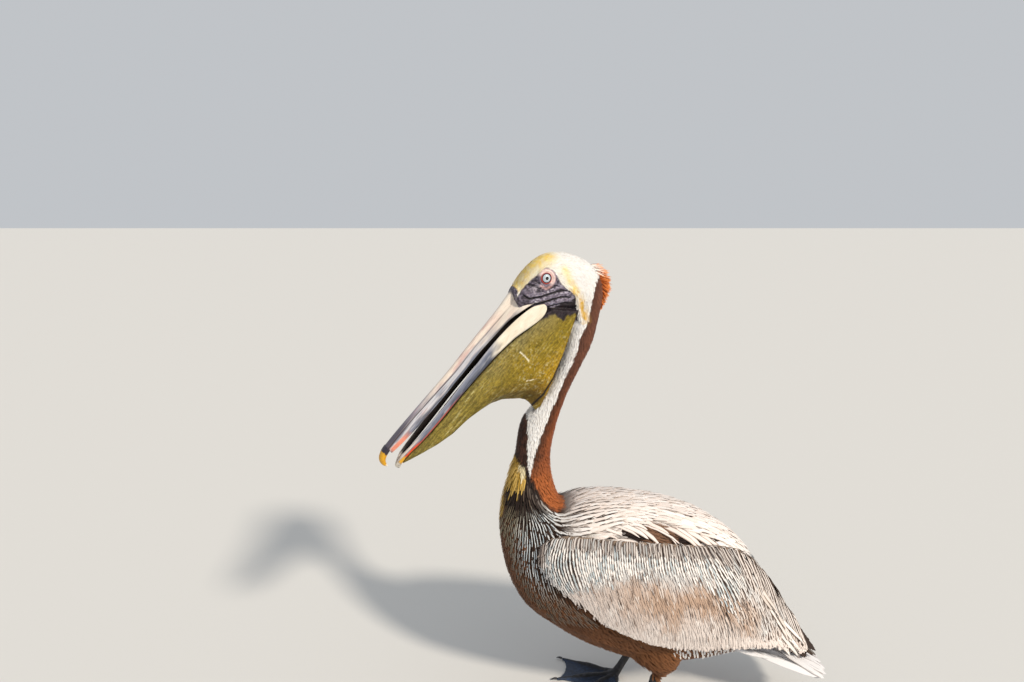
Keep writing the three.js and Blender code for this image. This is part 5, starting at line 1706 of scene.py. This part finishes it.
def trunk_line(places, up):
    """Where the long streaked feathers of the neck's base, shoulders and back lie."""
    _, y, z = places.T
    here = (y > curve(STREAK_FRONT, z) - 4) & (z > 196) & (y < 232)
    ahead = y < np.interp(z, [200, 240, 260, 290, 316], [-80, -120, -136, -150, -138])
    here &= ahead | (z > curve(WING_TOP, y) - 15)
    here &= (inside(RUST_PATCH, places) < 0) & (inside(SHADED_HOLLOW, places) < 0)
    here &= (z < 398) & (np.hypot(y + 100, z - 368) > np.interp(y, [-120, -80], [12, 8]))
    here &= ~((y > -160) & (z > 372) & (y < -122))
    return here | (inside(NECK_FRONT, places) > 0)


def shoulder(places):
    return (ease(places[:, 1] + 0.25 * (places[:, 2] - 330), -156, -112)
            * ease(places[:, 2], 285, 312))


def trunk_gap(places):
    white = shoulder(places)
    return (np.interp(places[:, 1], [-60, 60], [4.2, 7.5])
            - 1.2 * (1 - white) * (places[:, 1] < -60)
            + 2.0 * white - (inside(NECK_FRONT, places) > 0) * 0.7)


rng = np.random.default_rng(51)
seeds = rng.permutation(skin_points)
seeds = seeds[trunk_line(seeds, None)]
roots = roots_on(combed(skin_tree, seeds, body_lie, trunk_line, trunk_gap), 4, rng)
size = len(roots)
_, up, _ = nearest(skin_tree, roots)
lie = body_lie(roots, up)
white = shoulder(roots)
far = ease(roots[:, 1], -60, 20)
on_front = inside(NECK_FRONT, roots)
long = (31 + 11 * white + 12 * far) * rng.uniform(0.85, 1.2, size)
wide = (3.3 + 4.2 * white + 2.6 * far - 0.4 * (on_front > 0)) * rng.uniform(0.9, 1.12, size)
reach = np.full(size, 99.0)
for step in range(6, 60, 6):
    reach = np.where((reach > 98) & (inside(SHADED_HOLLOW, roots + lie * step) > 0), step, reach)
long = np.minimum(long, np.maximum(reach + 1, 9))
vanes = laid(back_tree, roots, lie, long, wide, 6.4 + 0.8 * white, LONG_VANE,
             rng.normal(0, 0.015, size) * (1 + 2 * white), 1.1, body_lie)
tones = rng.uniform(0, 1, size)
_, y, z = roots.T
low = ease(-z, -300, -235)
silver = layered(
    blend("#b4c2c9", "#e9edee", tones),
    ("#8a6d52", low * 0.9),
    ("#86735c", ease(curve(STREAK_FRONT, z) - y, -24, -2) * 0.85),
    ("#a99c78", ease(-y + 0.5 * (z - 340), 160, 205) * 0.7),
    ("#5b4a3e", ease(z, 352, 388) * 0.9))
core = blend(silver, blend("#fdf6f2", "#efe2da", tones), white)
# On the white shoulders the dark edges come in clusters: partly the feathers' own edges, partly
# painted shade in the gaps between them.
cluster = grain(roots, 13, 53) + rng.normal(0, 0.16, size)
dark = (1 - far * 0.8) * ease(cluster, 0.28, 0.6) * (1 - 0.6 * ease(z, 344, 358))
edge = layered(blend("#e6dbd2", "#33251f", np.maximum(dark, 1 - white)),
               ("#4a3830", far * ease(cluster, 0.68, 0.78)))
# On the gold patch and in front of the neck they have the markings of the coat instead.
middle = roots + lie * (long * 0.5)[:, None]
plain = np.maximum(ease(inside(GOLD_PATCH, middle), -3, 0),
                   ease(on_front, -2, 6) * (rng.uniform(0, 1, size) < 0.9) * ease(z, 352, 376))
plain_core, plain_edge, _ = markings(middle)
start = np.where(plain > 0.5, 0.5, 0.38 + 0.22 * white - 0.14 * (1 - white) * low)
add_feathers("coat_mantle", vanes, blend(core, plain_core, plain), blend(edge, plain_edge, plain),
             unwrapped(BODY_RUN, roots - PIVOT), start, 0.1)

# The scapulars: large white feathers that hang from the shoulder over the top of the wing, with the
# painted shade of the hollow under them showing dark between them.
SCAPULAR = [(0, 0.35, 0), (0.2, 0.8, 0.35), (0.5, 1, 0.7), (0.78, 0.86, 0.95), (0.92, 0.5, 1),
            (1, 0, 1)]
SCAPULAR_ROWS = [
    # y and height of the root, y and height of the tip, width, rise
    (-58, 343, 9, 319, 8.5, 8), (-64, 338, -4, 321, 5, 7), (-34, 347, 26, 318, 7.5, 8.5),
    (-18, 343, 60, 313, 4, 9.5), (-84, 330, -30, 324, 6, 6.5), (-76, 323, -38, 318, 5, 6.5),
    (14, 345, 92, 316.5, 8, 8), (-22, 350, 44, 331, 7, 7.5), (8, 341, 52, 325, 4, 8.5),
    (44, 342, 120, 307, 9, 8), (74, 334, 134, 302, 7, 7.5), (-44, 352, 10, 337, 7, 7),
    (34, 350, 98, 322, 9, 7.5),
]
for side, sign in SIDES:
    rng = np.random.default_rng(61)
    y, z, tip_y, tip_z, wide, rise = np.array(SCAPULAR_ROWS, float).T
    roots, _, _ = nearest(back_tree, joined(sign * 56.0, y, z))
    ends, _, _ = nearest(back_tree, joined(sign * 70.0, tip_y, tip_z))
    long = np.linalg.norm(ends - roots, axis=-1)
    vanes = laid(back_tree, roots, unit(ends - roots + np.array([0, 0, 0.2]) * long[:, None]), long,
                 wide, rise, SCAPULAR, 0.42 * sign)
    # Their grey-brown edges are painted shade.
    add_feathers(f"scapulars_{side}", vanes, varied("#fdf6f1", "#f0e2da", rng, len(roots)),
                 paint("#a8968a"), unwrapped(BODY_RUN, roots - PIVOT), 0.6, 0.2)

# Pale streaked feathers fringe each flank, under the lower edge of the wing.
rng = np.random.default_rng(71)
over_foot = skin_points[:, 2] - curve(WING_FOOT, skin_points[:, 1])
flank = (skin_points[:, 1] > -40) & (skin_points[:, 1] < 215) & (over_foot < 14) & (over_foot > -12)
roots = scattered(skin_mesh, 5.4, coated & flank, 72)
_, up, _ = nearest(skin_tree, roots)
angle = np.radians(np.interp(roots[:, 1], [-40, 60, 180, 215], [-45, -78, -78, -40]))
lie = joined(0.0, np.cos(angle), np.sin(angle))
lie = along_surface(lie, up)
back = ease(roots[:, 1], 30, 70)
vanes = laid(skin_tree, roots, lie, rng.uniform(17, 25, len(roots)) + 6 * back, 1.9 + 1.7 * back,
             4.0 + 3.0 * back, LONG_VANE, 0, 0.8)
core = blend("#9c8068", "#ebe8e6", back)
add_feathers("coat_flanks", vanes, core, core * 0.6, unwrapped(BODY_RUN, roots - PIVOT), 0.7)

# ---- Tail ------------------------------------------------------------------------------------
# A short fan of stiff silver-grey feathers, darker towards their edges as painted shade between them,
# under two layers of tail coverts.

TAIL_SPREAD = 16
TAIL_ROOT = (214.0, 120)
rng = np.random.default_rng(81)
# name, count, how far back and how low the roots lie, length, width, lift over the tail
for name, count, back, drop, long, wide, lift in (("tail_feathers", 16, 0, 0, 118, 19, 0.0),
                                                  ("tail_coverts", 16, -16, -6, 66, 11, 4.0)):
    t = np.linspace(-1, 1, count)
    fan = np.radians(TAIL_SPREAD * t)
    pitch = np.radians(27 + 1.5 * t * t)
    reach = joined(np.sin(fan) * np.cos(pitch), np.cos(fan) * np.cos(pitch), -np.sin(pitch))
    layer = (np.arange(count) % 2) * 0.9
    roots = joined(22 * t, TAIL_ROOT[0] + back, TAIL_ROOT[1] - 3 * t * t - drop + lift + layer)
    tips = roots + reach * ((long - 12 * t * t) * rng.uniform(0.95, 1.0, count))[:, None]
    tail = quills(name, roots, tips, joined(0.25 * t, 0.4, 0.9), wide,
                  varied("#ebe9ea", "#cfcbcc", rng, count),
                  varied("#bdb6b2", "#7d736c", rng, count),
                  joined((t + 1) / 2, 0.5, 0)[:, :2] * 0.9 + 0.05)
    if name == "tail_feathers":
        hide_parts("tail")

# The side coverts of the tail, soft and white, come out from under each wing, over the outermost
# tail feathers.
TAIL_SIDE = [
    # root: side, y, height; tip: side, y, height; width
    (24, 176, 104, 27, 246, 84, 9), (29, 172, 108, 32, 236, 90, 8), (34, 168, 112, 37, 226, 95, 8),
    (38, 164, 115, 41, 216, 99, 7), (42, 158, 118, 45, 207, 104, 7),
    (45, 150, 121, 48, 196, 108, 6),
    (30, 192, 105, 44, 300, 67, 13), (24, 196, 109, 38, 304, 70, 13),
    (18, 200, 112, 32, 308, 72, 14),
    (35, 188, 108, 50, 290, 73, 12),
]
for side, sign in SIDES:
    rows = np.array(TAIL_SIDE, float)
    roots, tips = rows[:, :3] * [sign, 1, 1], rows[:, 3:6] * [sign, 1, 1]
    core = varied("#f6f4f5", "#dcd8d9", rng, len(rows))
    quills(f"tail_side_coverts_{side}", roots, tips, np.array([0.8 * sign, 0.2, 0.3]),
           rows[:, 6], core,
           core * 0.6, unwrapped(BODY_RUN, roots - PIVOT))
